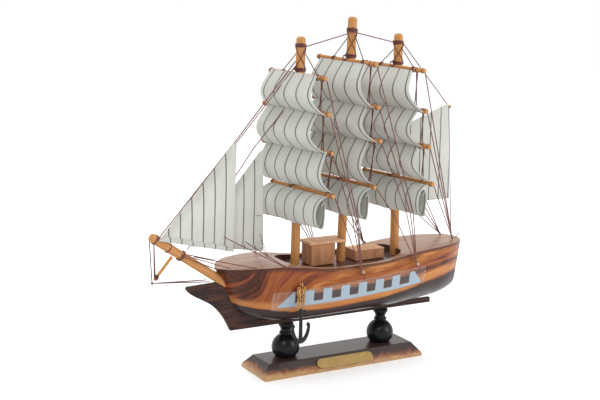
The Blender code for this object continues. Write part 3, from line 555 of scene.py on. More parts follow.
class Shape:
    # gathers grids of points and becomes one mesh with its own map

    def __init__(self):
        self.points, self.faces, self.maps, self.slots, self.count = [], [], [], [], 0

    def grid(self, points, flat, looped=False, slot=0, flip=False):
        # quads between neighbours; looped joins the last column to the first. flat has one more
        # column than points when looped, so that the map doesn't run backwards at the seam
        rows, columns = points.shape[:2]
        i, j = np.meshgrid(np.arange(rows - 1), np.arange(columns if looped else columns - 1), indexing="ij")
        i, j = i.ravel(), j.ravel()
        corners = [(i, j), (i, j + 1), (i + 1, j + 1), (i + 1, j)]
        if flip:
            corners = corners[::-1]
        faces = np.stack([a * columns + b % columns for a, b in corners], -1) + self.count
        maps = np.stack([flat[a, b] for a, b in corners], 1)
        self.add(points.reshape(-1, 3), faces, maps, slot)
        return self

    def add(self, points, faces, maps, slot):
        self.points.append(points)
        self.faces += faces.tolist()
        self.maps.append(np.asarray(maps, float).reshape(-1, 2))
        self.slots += [slot] * len(faces)
        self.count += len(points)

    def lid(self, ring, flip=False, slot=0, flat=None):
        # one flat face over a ring of points
        order = np.arange(len(ring))[::-1] if flip else np.arange(len(ring))
        maps = np.zeros((1, len(ring), 2)) if flat is None else flat[order][None]
        self.add(ring, (order + self.count)[None], maps, slot)

    def tube(self, path, radius, sides=8, helper=(0.31, 0.17, 0.93), twist=0.0, slot=0, closed=False):
        # P(s, a) = path(s) + r(s) (cos a N + sin a B), N and B square to the path; a twisted cord
        # has two strands, r(s, a) = r (1 + twist cos 2(a - 2.6 s / r))
        path = np.asarray(path, float)
        way = np.gradient(path, axis=0)
        if closed:
            way[0] = way[-1] = path[1] - path[-2]
        way = unit(way)
        across = unit(np.cross(way, np.broadcast_to(np.asarray(helper, float), path.shape)))
        up = np.cross(way, across)
        run = lengths(path)
        a = np.linspace(0, 2 * math.pi, sides + 1)
        size = np.broadcast_to(np.asarray(radius, float), run.shape)
        mean = float(size.max())
        swell = 1 + twist * np.cos(2 * a[None] - 1.3 * run[:, None] / mean)
        reach = (size[:, None] * swell)[:, :, None]
        rings = path[:, None] + reach * (np.cos(a)[None, :, None] * across[:, None]
                                         + np.sin(a)[None, :, None] * up[:, None])
        flat = np.stack(np.broadcast_arrays(a[None] * mean / mm, run[:, None] / mm), -1)
        if closed:
            self.grid(np.concatenate([rings[:-1, :-1], rings[:1, :-1]]), flat, True, slot)
            return self
        self.grid(rings[:, :-1], flat, True, slot)
        self.lid(rings[0, :-1], True, slot)
        self.lid(rings[-1, :-1], False, slot)
        return self

    def build(self, name, paint, slotName, nodes=(), body="ship", merge=False, sharp=None, smooth=True):
        points = np.concatenate(self.points)
        mesh = bpy.data.meshes.new(name)
        mesh.from_pydata(points.tolist(), [], self.faces)
        layer = mesh.uv_layers.new(name="UVMap")
        layer.data.foreach_set("uv", np.concatenate(self.maps).astype(np.float32).ravel())
        for one in paint if isinstance(paint, (list, tuple)) else [paint]:
            mesh.materials.append(one)
        mesh.polygons.foreach_set("material_index", np.array(self.slots, np.int32))
        if merge:
            weld(mesh)
        if smooth:
            mesh.shade_smooth()
            if sharp:
                mesh.set_sharp_from_angle(angle=math.radians(sharp))
        thing = bpy.data.objects.new(name, mesh)
        bpy.context.scene.collection.objects.link(thing)
        return settle(thing, nodes, body)


def weld(mesh, dissolve=False):
    work = bmesh.new()
    work.from_mesh(mesh)
    bmesh.ops.remove_doubles(work, verts=work.verts, dist=2e-6)
    if dissolve:
        bmesh.ops.dissolve_limit(work, angle_limit=math.radians(0.6), verts=work.verts, edges=work.edges)
    work.to_mesh(mesh)
    work.free()


def settle(thing, nodes=(), body="ship"):
    if nodes:
        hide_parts(*nodes)
    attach(thing, body)
    return thing


def softened(node, name, paint, width, body="ship"):
    # a welded copy of a plain CAD solid with its edges eased
    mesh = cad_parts[node].data.copy()
    mesh.name = name
    weld(mesh, True)
    mesh.materials.clear()
    mesh.materials.append(paint)
    mesh.shade_smooth()
    mesh.set_sharp_from_angle(angle=math.radians(35))
    thing = bpy.data.objects.new(name, mesh)
    bpy.context.scene.collection.objects.link(thing)
    edge = thing.modifiers.new("easedEdges", "BEVEL")
    edge.width, edge.segments, edge.limit_method, edge.angle_limit = width, 3, "ANGLE", math.radians(30)
    return settle(thing, [node], body)


# ---------- rig dimensions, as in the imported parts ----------

rig = {"mastRadius": 3.05, "yardRadius": 1.5, "gap": 0.3, "cloth": 0.8, "tilt": 2.75, "wellFloor": 71.6,
       "stepDepth": 14.0, "inset": 2.0}
masts = {
    "fore": {"foot": -31.8, "head": -30.0, "top": 225.0, "heights": (200.9, 178.6, 153.7, 126.8),
             "turns": (20, 20, 22, 18), "port": (26.6, 30.4, 32.6, 37.2), "starboard": (22.4, 27.5, 27.0, 19.0),
             "sailPort": (20.4, 22.5, 29.6, 33.6), "sailStarboard": (18.8, 20.2, 20.6, 18.0),
             "belly": (10.4, 12.7, 8.4), "footOut": (0.5, 0.5, 0.5), "wraps": (219.5, 203.6), "liftPort": 19.0},
    "main": {"foot": 4.0, "head": 9.0, "top": 237.5, "heights": (208.9, 181.4, 159.4, 128.8),
             "turns": (20, 21, 22, 18), "port": (26.0, 29.4, 32.0, 31.2), "starboard": (24.6, 27.0, 29.0, 25.5),
             "sailPort": (18.6, 21.7, 24.3, 29.4), "sailStarboard": (20.4, 22.0, 23.5, 21.5),
             "belly": (10.6, 12.1, 10.2), "footOut": (0.5, 0.5, 0.5), "wraps": (229.0, 211.6), "liftPort": 14.6},
    "mizzen": {"foot": 48.0, "head": 45.7, "top": 226.0, "heights": (203.8, 177.1, 153.4, 128.4),
               "turns": (20, 20, 20, 20), "port": (26.4, 29.1, 32.0, 35.4), "starboard": (25.0, 27.0, 29.0, 25.0),
               "sailPort": (17.4, 23.2, 24.4, 33.0), "sailStarboard": (21.0, 22.5, 23.5, 21.5),
               "belly": (10.6, 13.4, 11.3), "footOut": (0.5, 0.5, 0.5), "wraps": (220.2, 206.0), "liftPort": 16.5},
}
knots = {"fore": ((5.6, -26.0, 68.6), (0.0, 25.6, 72.0)), "main": ((50.5, -24.8, 69.0), (38.5, 25.2, 75.0)),
         "mizzen": ((92.5, -7.5, 80.5), (92.5, 7.5, 80.5))}
bends = {"fore": (-32.6, 108.6), "main": (-33.0, 108.0)}
sprit = {"heel": (-74.0, 0.0, 59.2), "tip": (-136.0, 0.0, 101.8), "radius": 3.0}


def mastPoint(mast, height):
    # a point on a mast's axis, in millimetres
    share = (height - rig["wellFloor"]) / (mast["top"] - rig["wellFloor"])
    return np.array([mast["foot"] + (mast["head"] - mast["foot"]) * share, 0.0, height])


def yardFrame(mast, index):
    # middle of a yard, the way to its port end and the way ahead of its sail
    turn, tilt = math.radians(mast["turns"][index]), math.radians(rig["tilt"])
    port = np.array([math.sin(turn) * math.cos(tilt), -math.cos(turn) * math.cos(tilt), -math.sin(tilt)])
    ahead = np.array([-math.cos(turn), -math.sin(turn), 0.0])
    off = rig["mastRadius"] + rig["yardRadius"] + rig["gap"]
    return mastPoint(mast, mast["heights"][index]) + ahead * off, port, ahead


# ---------- hull ----------

# deck x, keel x, half breadth at deck, at bilge, deck height, bilge height, bottom height
hullLines = np.array([
    (-90.6, -77.8, 1.7, 1.4, 76.4, 50.2, 48.6), (-87.4, -73.5, 8.4, 5.6, 77.0, 48.8, 44.9),
    (-81.0, -66.5, 15.3, 10.6, 77.7, 47.2, 41.6), (-69.0, -56.5, 20.4, 15.8, 78.2, 45.6, 38.8),
    (-53.0, -45.0, 23.3, 19.4, 78.2, 45.0, 37.2), (-38.0, -33.0, 24.0, 20.8, 76.4, 45.0, 36.7),
    (-20.0, -17.0, 24.2, 21.6, 74.0, 45.5, 36.7), (5.0, 5.0, 24.2, 21.8, 73.6, 46.8, 36.7),
    (28.0, 27.0, 24.0, 21.2, 74.2, 48.4, 36.7), (46.0, 44.0, 23.3, 20.0, 76.6, 50.4, 36.9),
    (60.0, 57.0, 22.2, 18.2, 78.0, 52.6, 37.7), (74.0, 70.4, 20.3, 15.8, 78.6, 54.8, 38.6),
    (86.0, 82.5, 17.3, 12.9, 79.0, 56.4, 39.8), (94.0, 91.5, 13.0, 9.4, 79.2, 57.6, 42.2),
    (99.2, 97.5, 7.6, 5.6, 79.4, 58.4, 44.8), (101.2, 100.2, 2.2, 1.8, 79.4, 58.8, 46.5)])
well = {"length": 91.5, "width": 41.5, "middle": 2.2, "power": 0.62, "floor": 71.6}


def hullAt(x):
    # keel x, half breadths and heights of the section whose rail is at x
    return np.moveaxis(throughPoints(hullLines[:, 0], hullLines[:, 1:], x), -1, 0)


def hullSide(x, share):
    # a point of the port side, share 0 at the rail and 1 at the chine, with a slight swell
    keelX, deck, bilge, deckZ, bilgeZ, bottomZ = hullAt(x)
    z = deckZ + (bilgeZ - deckZ) * share
    swell = 0.5 * np.sin(math.pi * share) * np.minimum(deck / 20, 1)
    raked = x + (keelX - x) * (deckZ - z) / (deckZ - bottomZ)
    return np.stack([raked, -(deck + (bilge - deck) * share + swell), z], -1)


def breadthAt(x, z):
    # half breadth of the side at a place: slides to the section that reaches it
    rail = x.copy()
    for _ in range(8):
        keelX, deck, bilge, deckZ, bilgeZ, bottomZ = hullAt(rail)
        rail = x - (keelX - rail) * (deckZ - z) / (deckZ - bottomZ)
    share = np.clip((deckZ - z) / (deckZ - bilgeZ), 0, 1)
    return deck + (bilge - deck) * share + 0.5 * np.sin(math.pi * share) * np.minimum(deck / 20, 1)


def buildHull():
    shape = Shape()
    x = hullLines[0, 0] + (hullLines[-1, 0] - hullLines[0, 0]) * (1 - np.cos(np.linspace(0, math.pi, 141))) / 2
    share = np.linspace(0, 1, 15)
    side = hullSide(np.repeat(x[:, None], 15, 1), np.repeat(share[None], len(x), 0))
    keelX, deck, bilge, deckZ, bilgeZ, bottomZ = [v[:, None] for v in hullAt(x)]
    turn = np.radians(np.linspace(0, 90, 13)[1:])[None]
    z = bilgeZ - (bilgeZ - bottomZ) * np.sin(turn)
    # under the chine the bottom is drawn in a little, so that the chine shows as an edge
    under = np.stack([x[:, None] + (keelX - x[:, None]) * (deckZ - z) / (deckZ - bottomZ),
                      -bilge * (np.cos(turn) - 0.035 * np.sin(2 * turn)), z], -1)
    port = np.concatenate([side, under], 1)
    starboard = port[:, -2::-1] * np.array([1, -1, 1])
    skin = np.concatenate([port, starboard], 1)
    down = np.concatenate([share, 1 + np.linspace(0, 1, 13)[1:]])
    down = np.concatenate([down, down[-2::-1]])
    flat = np.stack([np.repeat(x[:, None], len(down), 1), np.repeat(down[None], len(x), 0)], -1)
    shape.grid(skin * mm, flat, slot=0, flip=True)
    shape.lid(skin[0] * mm, False, 0, flat[0])
    shape.lid(skin[-1] * mm, True, 0, flat[-1])
    # deck: from the rail in to the well's rim, a rounded rectangle |c|^p, |s|^p
    q = (x - well["middle"]) / (well["length"] / 2)
    f = q / (1 + np.abs(q) ** 4) ** 0.25
    c = np.sign(f) * np.abs(f) ** (1 / well["power"])
    rim = np.stack([well["middle"] + f * well["length"] / 2,
                    -well["width"] / 2 * (1 - c**2) ** (well["power"] / 2), 0 * x], -1)
    across = np.concatenate([[0.0, 0.03, 0.08], np.linspace(0.16, 1, 12)])
    outer = skin[:, 0]
    deckGrid = outer[:, None] + (rim - outer)[:, None] * across[None, :, None]
    clipped = np.clip(deckGrid[..., 0], x[0], x[-1])
    crown = 0.5 * np.sin(np.pi * np.minimum(across * 1.0, 1.0))[None] * (np.abs(q) > 0.9)[:, None]
    deckGrid[..., 2] = throughPoints(hullLines[:, 0], hullLines[:, 4], clipped) + crown
    deckGrid[:, 0] = outer
    inward = np.linalg.norm(deckGrid - outer[:, None], axis=-1)
    ringed = np.concatenate([deckGrid, deckGrid[::-1] * np.array([1, -1, 1]), deckGrid[:1]])
    inwardAll = np.concatenate([inward, inward[::-1], inward[:1]])
    shape.grid(ringed * mm, np.stack([ringed[..., 0], inwardAll], -1), slot=1)
    edge = ringed[:, -1]
    drop = np.linspace(0, 1, 6)
    wall = edge[:, None] * np.array([1, 1, 0]) + np.stack(
        np.broadcast_arrays(0, 0, edge[:, None, 2] + (well["floor"] - edge[:, None, 2]) * drop[None]), -1)
    shape.grid(wall * mm, np.stack(np.broadcast_arrays(edge[:, None, 0], drop[None] * 5), -1), slot=2)
    shape.lid(wall[:-1, -1] * mm, False, 2)
    hull = shape.build("shipHull", [paints["hull"], paints["deck"], paints["well"]], "varnished_wood",
                       ["hull_block"], merge=True, sharp=38)
    ease = hull.modifiers.new("easedRail", "BEVEL")
    ease.width, ease.segments, ease.limit_method, ease.angle_limit = 0.35 * mm, 2, "ANGLE", math.radians(40)


def buildStrips():
    # the film follows the side 0.42 mm off it; its middle runs up 3.1 t + 3.3 t^2 towards the stern
    t = np.linspace(0, 1, 121)[:, None]
    up = np.linspace(-6.2, 6.2, 15)[None]
    x = -58.5 + filmLook["length"] * t + 0 * up
    z = 54.4 + 3.1 * t + 3.3 * t * t + up
    for side, name in ((-1, "port"), (1, "starboard")):
        shape = Shape()
        y = side * (breadthAt(x, z) + 0.42)
        flat = np.stack([filmLook["length"] * t + 0 * up, 0 * t + up], -1)
        shape.grid(np.stack([x, y, z], -1) * mm, flat, flip=side > 0)
        strip = shape.build(name + "Film", paints["film"], "printed_film", [name + "_gunport_strip"])
        thick = strip.modifiers.new("filmThickness", "SOLIDIFY")
        thick.thickness, thick.offset = 0.12 * mm, 1.0


keel = {"half": 1.5, "low": 33.0, "aft": 79.5,
        "front": ((-80.2, 33.0), (-82.4, 37.4), (-85.3, 42.6), (-89.4, 47.9), (-94.0, 52.2), (-99.9, 55.9),
                  (-106.9, 59.9), (-110.4, 62.6), (-111.9, 64.9)),
        "top": ((-111.2, 66.3), (-98.0, 66.8), (-86.0, 67.2), (-82.6, 62.0), (-78.6, 53.0), (-73.0, 46.4),
                (-66.0, 42.9), (-56.0, 40.1), (-45.0, 38.5), (-33.0, 37.8), (28.0, 37.8), (50.0, 37.0),
                (79.5, 36.8))}


def buildKeel():
    # the board's outline in the middle plane, carried 1.5 mm to each side
    front = resample(np.array([(x, 0.0, z) for x, z in keel["front"]]), 1.2, True)
    top = np.array([(x, 0.0, z) for x, z in keel["top"]])
    ring = np.concatenate([front, top, [[keel["aft"], 0.0, keel["low"]]]])
    sides = [ring + np.array([0, y, 0]) for y in (-keel["half"], keel["half"])]
    shape = Shape()
    flat = np.zeros((2, len(ring) + 1, 2))
    shape.grid(np.stack(sides) * mm, flat, True, flip=False)
    shape.lid(sides[0] * mm, True)
    shape.lid(sides[1] * mm, False)
    board = shape.build("keelBoard", paints["keel"], "burnt_wood", ["keel_board"], merge=True, sharp=35)
    ease = board.modifiers.new("easedEdges", "BEVEL")
    ease.width, ease.segments, ease.limit_method, ease.angle_limit = 0.4 * mm, 2, "ANGLE", math.radians(40)


buildHull()
buildKeel()
buildStrips()
softened("base_plate", "standBase", paints["base"], 0.7 * mm)
softened("name_plate", "namePlate", paints["gold"], 0.18 * mm)
softened("cabin", "deckCabin", paints["cabin"], 0.35 * mm)
softened("cabin_roof", "cabinRoof", paints["roof"], 0.3 * mm)
softened("hatch", "deckHatch", paints["hatch"], 0.4 * mm)
print("hull, stand and deck made")

# ---------- turned and round parts ----------

pillar = {"x": (-38.0, 38.0), "foot": 9.8, "top": 32.7,
          "profile": ((7.2, 0.0), (7.49, 0.87), (8.75, 2.6), (9.38, 4.6), (9.5, 6.6), (9.1, 9.0), (8.1, 11.2),
                      (6.6, 13.1), (4.9, 14.5), (3.7, 15.25), (4.3, 15.75), (4.5, 16.3), (4.3, 16.9),
                      (3.65, 17.5), (3.6, 18.6), (4.1, 20.0), (4.9, 21.3), (5.2, 22.2), (5.15, 22.9))}


def revolve(shape, profile, centre, sides=64, step=0.14):
    # P(h, a) = centre + (r(h) cos a, r(h) sin a, h), profile smoothed between its points
    outline = np.array([(r, 0.0, h) for r, h in profile])
    outline = resample(outline, step, True)
    a = np.linspace(0, 2 * math.pi, sides + 1)
    r, h = outline[:, :1], outline[:, 2:]
    rings = np.stack(np.broadcast_arrays(r * np.cos(a)[None], r * np.sin(a)[None], h), -1) + np.array(centre)
    flat = np.stack(np.broadcast_arrays(a[None] * 8, h), -1)
    shape.grid(rings[:, :-1] * mm, flat, True)
    shape.lid(rings[0, :-1] * mm, True)
    shape.lid(rings[-1, :-1] * mm, False)
    return shape


def dowel(name, start, end, radius, nodes, roundEnds=(0.5, 0.5), sides=40, slotName="dowel_wood"):
    # a stick whose ends are eased by quarter circles of the given size; it is a touch uneven
    start, end = np.asarray(start, float), np.asarray(end, float)
    long = np.linalg.norm(end - start)
    first, last = roundEnds
    body = np.linspace(first, long - last, max(int(long / 4), 3))
    bow = np.linspace(0, math.pi / 2, 7)[:-1]
    run = np.concatenate([first * (1 - np.cos(bow)), body, long - last * (1 - np.cos(bow[::-1]))])
    size = np.concatenate([radius - first * (1 - np.sin(bow)), body * 0 + radius,
                           radius - last * (1 - np.sin(bow[::-1]))])
    size = size * (1 + 0.008 * np.sin(run * 0.31 + start[0]))
    path = start + (end - start) / long * run[:, None]
    shape = Shape().tube(path * mm, size * mm, sides, (0.03, 0.9, 0.02) if abs(end[1] - start[1]) < long / 2
                         else (0.0, 0.0, 1.0))
    return shape.build(name, paints["dowel"], slotName, nodes, sharp=50)


for name, x in zip(("front", "aft"), pillar["x"]):
    revolve(Shape(), pillar["profile"], (x, 0, pillar["foot"])).build(
        name + "Pillar", paints["lacquer"], "black_lacquer", [name + "_pillar"], sharp=50)
    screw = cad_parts[name + "_screw"]
    screw.data.materials.clear()
    screw.data.materials.append(paints["steel"])

for name, mast in masts.items():
    low = mastPoint(mast, rig["wellFloor"] - rig["stepDepth"])
    dowel(name + "Mast", low, mastPoint(mast, mast["top"]), rig["mastRadius"], [name + "_mast"], (0.3, 2.2), 48)
    for i in range(4):
        middle, port, ahead = yardFrame(mast, i)
        dowel(f"{name}Yard{i + 1}", middle - port * mast["starboard"][i], middle + port * mast["port"][i],
              rig["yardRadius"], [f"{name}_yard_{i + 1}"], (0.35, 0.35), 28)
dowel("bowspritStick", sprit["heel"], sprit["tip"], sprit["radius"], ["bowsprit"], (0.3, 1.6), 48)
dowel("dolphinStick", (-121.2, 0, 87.4), (-133.4, 0, 73.2), 1.0, ["dolphin_striker"], (0.3, 0.3), 24)
dowel("gaffStick", (50.6, 2.0, 158.4), (93.0, 2.0, 174.0), 1.1, ["gaff"], (0.3, 0.3), 24)
print("pillars, masts, yards and bowsprit made")

# ---------- sails ----------

sailLook = {"thickness": 0.2, "rows": 49, "columns": 61, "scallop": 0.16, "wander": 0.35, "edgeCurl": 0.35,
            "headRise": {"fore": (1.5, 1.3, 1.3), "main": (-0.4, 1.0, 1.0), "mizzen": (-0.4, 1.0, 1.0)},
            "footRise": (-0.6, -0.6, 2.4),
            "footPort": {"fore": (29.1, 29.3, 36.8), "main": (26.7, 30.6, 29.6), "mizzen": (28.2, 28.0, 34.1)},
            "footStarboard": 2.5}


def finishSail(shape, name, node):
    sail = shape.build(name, paints["cloth"], "sail_cloth", [node])
    thick = sail.modifiers.new("clothThickness", "SOLIDIFY")
    thick.thickness, thick.offset, thick.use_rim = sailLook["thickness"] * mm, 0.0, True
    return sail


def squareSail(name, mast, index, seed):
    # P(u, v) = head(u) (1 - v) + foot(u) v + ahead (front + out v + belly(u) sin(pi v^1.15) + ripples)
    look = sailLook
    u = np.linspace(-mast["sailStarboard"][index], mast["sailPort"][index], look["columns"])[None]
    v = np.linspace(0, 1, look["rows"])[:, None]
    middle, port, ahead = yardFrame(mast, index)
    lower, lowerPort, lowerAhead = yardFrame(mast, index + 1)
    front = rig["yardRadius"] + rig["gap"] + rig["cloth"] / 2 + 0.1
    head = middle + port * u[..., None] + np.array([0, 0, look["headRise"][name][index]])
    grow = np.where(u > 0, look["footPort"][name][index] / u.max(), 1 - look["footStarboard"] / u.min())
    foot = lower + lowerPort * (u * grow)[..., None] + np.array([0, 0, look["footRise"][index]])
    share = (u - u.min()) / (u.max() - u.min())
    belly = mast["belly"][index] * (0.80 + 0.20 * share)
    off = front + mast["footOut"][index] * v + belly * np.sin(math.pi * v**1.15)
    stripes = (u - u.max() + 2.2) / clothLook["stripePitch"]
    off = off + look["scallop"] * np.cos(2 * math.pi * stripes) * np.sin(math.pi * v)
    off = off + look["wander"] * np.sin(3.1 * v + 0.23 * u + seed) * np.sin(5.0 * v - 0.11 * u + 2 * seed) * v
    off = off - look["edgeCurl"] * np.exp(-(u.max() - u) / 2.6) * np.sin(math.pi * v)
    off = off - (1.5 if index == 2 else 0.6) * np.clip((v - 0.86) / 0.14, 0, 1) ** 2 * (0.4 + 0.6 * share)
    way = unit(ahead * (1 - v[..., None]) + lowerAhead * v[..., None])
    points = head * (1 - v[..., None]) + foot * v[..., None] + way * off[..., None]
    drop = lengths(points[:, look["columns"] // 2])
    flat = np.stack(np.broadcast_arrays(u - u.max() + 2.2, drop[:, None]), -1)
    shape = Shape().grid(points * mm, flat, flip=True)
    finishSail(shape, f"{name}Sail{index + 1}", f"{name}_sail_{index + 1}")


# the roll's outline as ahead and up of the yard's middle: from the yard's front, down and round, up
# behind, then the free edge inside; near the port end the pinch draws the back towards the front
rollPinch = {"share": 0.36, "reach": 7.0}
rollProfile = ((1.95, -0.45), (4.7, -0.75), (8.8, -2.45), (12.1, -5.8), (13.3, -9.3), (13.4, -13.1), (12.45, -16.7),
               (10.6, -19.5), (8.0, -21.0), (5.3, -21.0), (2.7, -19.6), (0.8, -16.8), (-0.2, -13.3), (-0.1, -9.4),
               (0.9, -5.6), (3.2, -4.4), (5.2, -6.4))


def rolledSail(name, mast, seed):
    # the profile above carried along the yard, with slow waves that grow towards the free edge
    middle, port, ahead = yardFrame(mast, 3)
    outline = resample(np.array([(f, 0.0, z) for f, z in rollProfile]), 0.8, True)
    run = lengths(outline)
    u = np.linspace(-mast["sailStarboard"][3], mast["sailPort"][3], 57)
    grow = (run / run[-1])[:, None]
    wave = 0.5 * np.sin(0.21 * u[None] + 4 * grow + seed) * grow + 0.14 * np.cos(
        2 * math.pi * (u[None] - u.max() + 2.2) / clothLook["stripePitch"]) * np.sin(math.pi * grow)
    inward = unit(np.array([[6.6, 0, -11.6]]) - outline)
    shift = outline[:, None] + inward[:, None] * wave[..., None]
    # the back of the roll is drawn to its front near the port end
    front = 6.6 + 6.9 * np.sqrt(np.clip(1 - ((shift[..., 2] + 11.6) / 9.6) ** 2, 0, 1))
    pinch = rollPinch["share"] * np.exp(-(u.max() - u) / rollPinch["reach"])[None] * (grow > 0.02)
    ahead2 = shift[..., 0] + np.maximum(front - shift[..., 0], 0) * pinch * np.clip(-shift[..., 2] / 6, 0, 1)
    points = middle + port * u[None, :, None] + ahead * ahead2[..., None] + np.array([0, 0, 1.0]) * shift[..., 2:]
    flat = np.stack(np.broadcast_arrays(u[None] - u.max() + 2.2, run[:, None]), -1)
    shape = Shape().grid(points * mm, flat, flip=True)
    finishSail(shape, f"{name}Sail4", f"{name}_sail_4")


# corners as (x, z): foot fore end, foot aft end, peak; y; belly to port; x of one stripe
jibs = {
    "outerJib": {"node": "outer_jib", "tack": (-131.8, 99.4), "clew": (-79.6, 87.2), "peak": (-78.0, 158.8),
                 "y": -3.9, "belly": -1.6, "stripe": -85.8, "hangs": ["bowspritStick", "outerStay"]},
    "innerJib": {"node": "inner_jib", "tack": (-107.6, 92.4), "clew": (-55.0, 84.0), "peak": (-55.8, 151.6),
                 "y": 1.9, "belly": -1.2, "stripe": -54.4, "hangs": ["bowspritStick", "innerStay"]},
}


def jibSail(name, look):
    # P(u, v) = foot(u) (1 - v) + peak v, with the peak 2 mm wide; y = y0 + belly sin(pi u) sin(pi v)
    u, v = np.linspace(0, 1, 57)[None], np.linspace(0, 1, 57)[:, None]
    tack, clew, peak = [np.array(look[k]) for k in ("tack", "clew", "peak")]
    foot = tack + (clew - tack) * u[..., None]
    top = peak + np.array([2.0, 0.4]) * (u[..., None] - 1)
    flatPoint = foot * (1 - v[..., None]) + top * v[..., None]
    y = look["y"] + look["belly"] * np.sin(math.pi * u) * np.sin(math.pi * v)
    y = y + 0.35 * np.sin(9 * u + 4 * v) * u * (1 - v) + 0.12 * np.cos(2 * math.pi * (flatPoint[..., 0]) / 8.6)
    points = np.stack([flatPoint[..., 0], y, flatPoint[..., 1]], -1)
    flat = np.stack([(flatPoint[..., 0] - look["stripe"]) * 8.5 / 7.85, flatPoint[..., 1]], -1)
    shape = Shape().grid(points * mm, flat, flip=False)
    finishSail(shape, name, look["node"])
    # folded hems up the luff and along the foot, a second layer of cloth just off the sail
    for part, width in (("Luff", 4.6), ("Foot", 3.4)):
        side = 0.34 if part == "Luff" else -0.36
        hem = Shape()
        s = np.linspace(0.0, 0.985, 60)[:, None]
        if part == "Luff":
            edge = tack + (peak - np.array([2.0, 0.4]) - tack) * s
            inward = unit(np.array([[0.72, -0.69]]))
        else:
            edge = tack + (clew - tack) * s
            inward = unit(np.array([[0.15, 0.99]]))
        w = np.linspace(0, 1, 7)[None]
        across = w * width * np.minimum(1, (1 - s) * 9) * np.minimum(1, s * 14 + 0.1)
        spread = edge[:, None] + inward[:, None] * across[..., None]
        uu = np.clip((spread[..., 0] - tack[0]) / (clew[0] - tack[0]), 0, 1)
        vv = np.clip((spread[..., 1] - tack[1]) / (peak[1] - tack[1]), 0, 1)
        share = np.clip((uu - vv) / np.maximum(1 - vv, 0.05), 0, 1)
        yy = look["y"] + look["belly"] * np.sin(math.pi * share) * np.sin(math.pi * vv) + side
        hemPoints = np.stack([spread[..., 0], yy, spread[..., 1]], -1)
        hemFlat = np.stack([(spread[..., 0] - look["stripe"] - (0.9 if part == "Foot" else 3.5)) * 8.5 / 7.85,
                            spread[..., 1]], -1)
        hem.grid(hemPoints * mm, hemFlat, flip=part == "Luff")
        piece = hem.build(name + part + "Hem", paints["cloth"], "sail_cloth")
        thick = piece.modifiers.new("clothThickness", "SOLIDIFY")
        thick.thickness, thick.offset = 0.22 * mm, 0.0


def spankerSail():
    # bilinear between four corners, with slow upright folds that grow towards the free edge
    corners = {"foreLow": (52.6, 108.2), "aftLow": (93.3, 108.2), "aftHigh": (89.6, 176.6), "foreHigh": (52.2, 162.6)}
    a, b, c, d = [np.array(corners[k]) for k in ("foreLow", "aftLow", "aftHigh", "foreHigh")]
    u, v = np.linspace(0, 1, 49)[None, :, None], np.linspace(0, 1, 61)[:, None, None]
    flatPoint = (a * (1 - u) + b * u) * (1 - v) + (d * (1 - u) + c * u) * v
    u, v = u[..., 0], v[..., 0]
    y = -0.2 - 0.9 * np.sin(math.pi * u) * (1 - 0.6 * v) - 0.5 * np.sin(7.5 * u + 1.5 * v) * u * (1 - v)
    points = np.stack([flatPoint[..., 0], y, flatPoint[..., 1]], -1)
    flat = np.stack([flatPoint[..., 0] - 93.3 + 1.4, flatPoint[..., 1]], -1)
    shape = Shape().grid(points * mm, flat)
    finishSail(shape, "spankerSail", "spanker")


for number, (name, mast) in enumerate(masts.items()):
    for i in range(3):
        squareSail(name, mast, i, 1.7 * number + 2.3 * i)
    rolledSail(name, mast, 0.9 * number)
for name, look in jibs.items():
    jibSail(name, look)
spankerSail()
print("sails made")

# ---------- threads ----------

threads = {"radius": 0.24, "swell": 1.45, "step": 0.55, "sag": 0.006, "twist": 0.16}


def line(shape, route, radius=None, sag=None, step=None):
    # a twisted thread from point to point that sags 4 h t (1 - t) in the middle
    radius = (radius or threads["radius"]) * threads["swell"]
    path = resample(np.asarray(route, float), step or threads["step"])
    run = lengths(path)
    t = run / run[-1]
    drop = (threads["sag"] if sag is None else sag) * run[-1]
    path = path - np.array([0, 0, 1.0]) * (4 * drop * t * (1 - t))[:, None] * 0.5
    return shape.tube(path * mm, radius * mm, 7, (0.31, 0.83, 0.17) if abs(path[-1][1] - path[0][1]) < 0.7 * run[-1]
                      else (0.93, 0.05, 0.2), threads["twist"])


def wrap(shape, centre, axis, hold, turns=4, radius=0.3, pitch=None, start=0.0):
    # a helix round a stick: centre + axis z + (hold + r)(cos a e + sin a f)
    axis = unit(np.asarray(axis, float))
    helper = np.array([0, 0, 1.0]) if abs(axis[2]) < 0.8 else np.array([1.0, 0, 0])
    e = unit(np.cross(axis, helper))
    f = np.cross(axis, e)
    pitch = pitch or 1.85 * radius
    a = np.linspace(0, 2 * math.pi * turns, int(turns * 26) + 1) + start
    out = np.cos(a)[:, None] * e + np.sin(a)[:, None] * f
    along = (a - a.mean()) / (2 * math.pi) * pitch
    path = np.asarray(centre, float) + axis * along[:, None] + out * (hold + radius * 0.9)
    return shape.tube(path * mm, radius * mm, 7, out, 0.12)


def knot(shape, centre, size, seed=0.0):
    # a lump r(a, b) = size (1 + 0.18 sin(3a + seed) cos 2b), poles closed by small lids
    a = np.linspace(0, 2 * math.pi, 17)[None]
    b = np.linspace(-1.45, 1.45, 11)[:, None]
    r = size * (1 + 0.18 * np.sin(3 * a + seed) * np.cos(2 * b))
    rings = np.asarray(centre, float) + np.stack(np.broadcast_arrays(
        r * np.cos(b) * np.cos(a), r * np.cos(b) * np.sin(a), r * np.sin(b)), -1)
    shape.grid(rings[:, :-1] * mm, np.stack(np.broadcast_arrays(a, b * 1.0), -1), True)
    shape.lid(rings[0, :-1] * mm, True)
    shape.lid(rings[-1, :-1] * mm, False)
    return shape


def yardEnd(mast, index, side, inside=None, behind=None):
    middle, port, ahead = yardFrame(mast, index)
    reach = mast["port" if side > 0 else "starboard"][index] - (rig["inset"] if inside is None else inside)
    back = rig["yardRadius"] + rig["gap"] + 0.35 if behind is None else behind
    return middle + port * side * reach - ahead * back


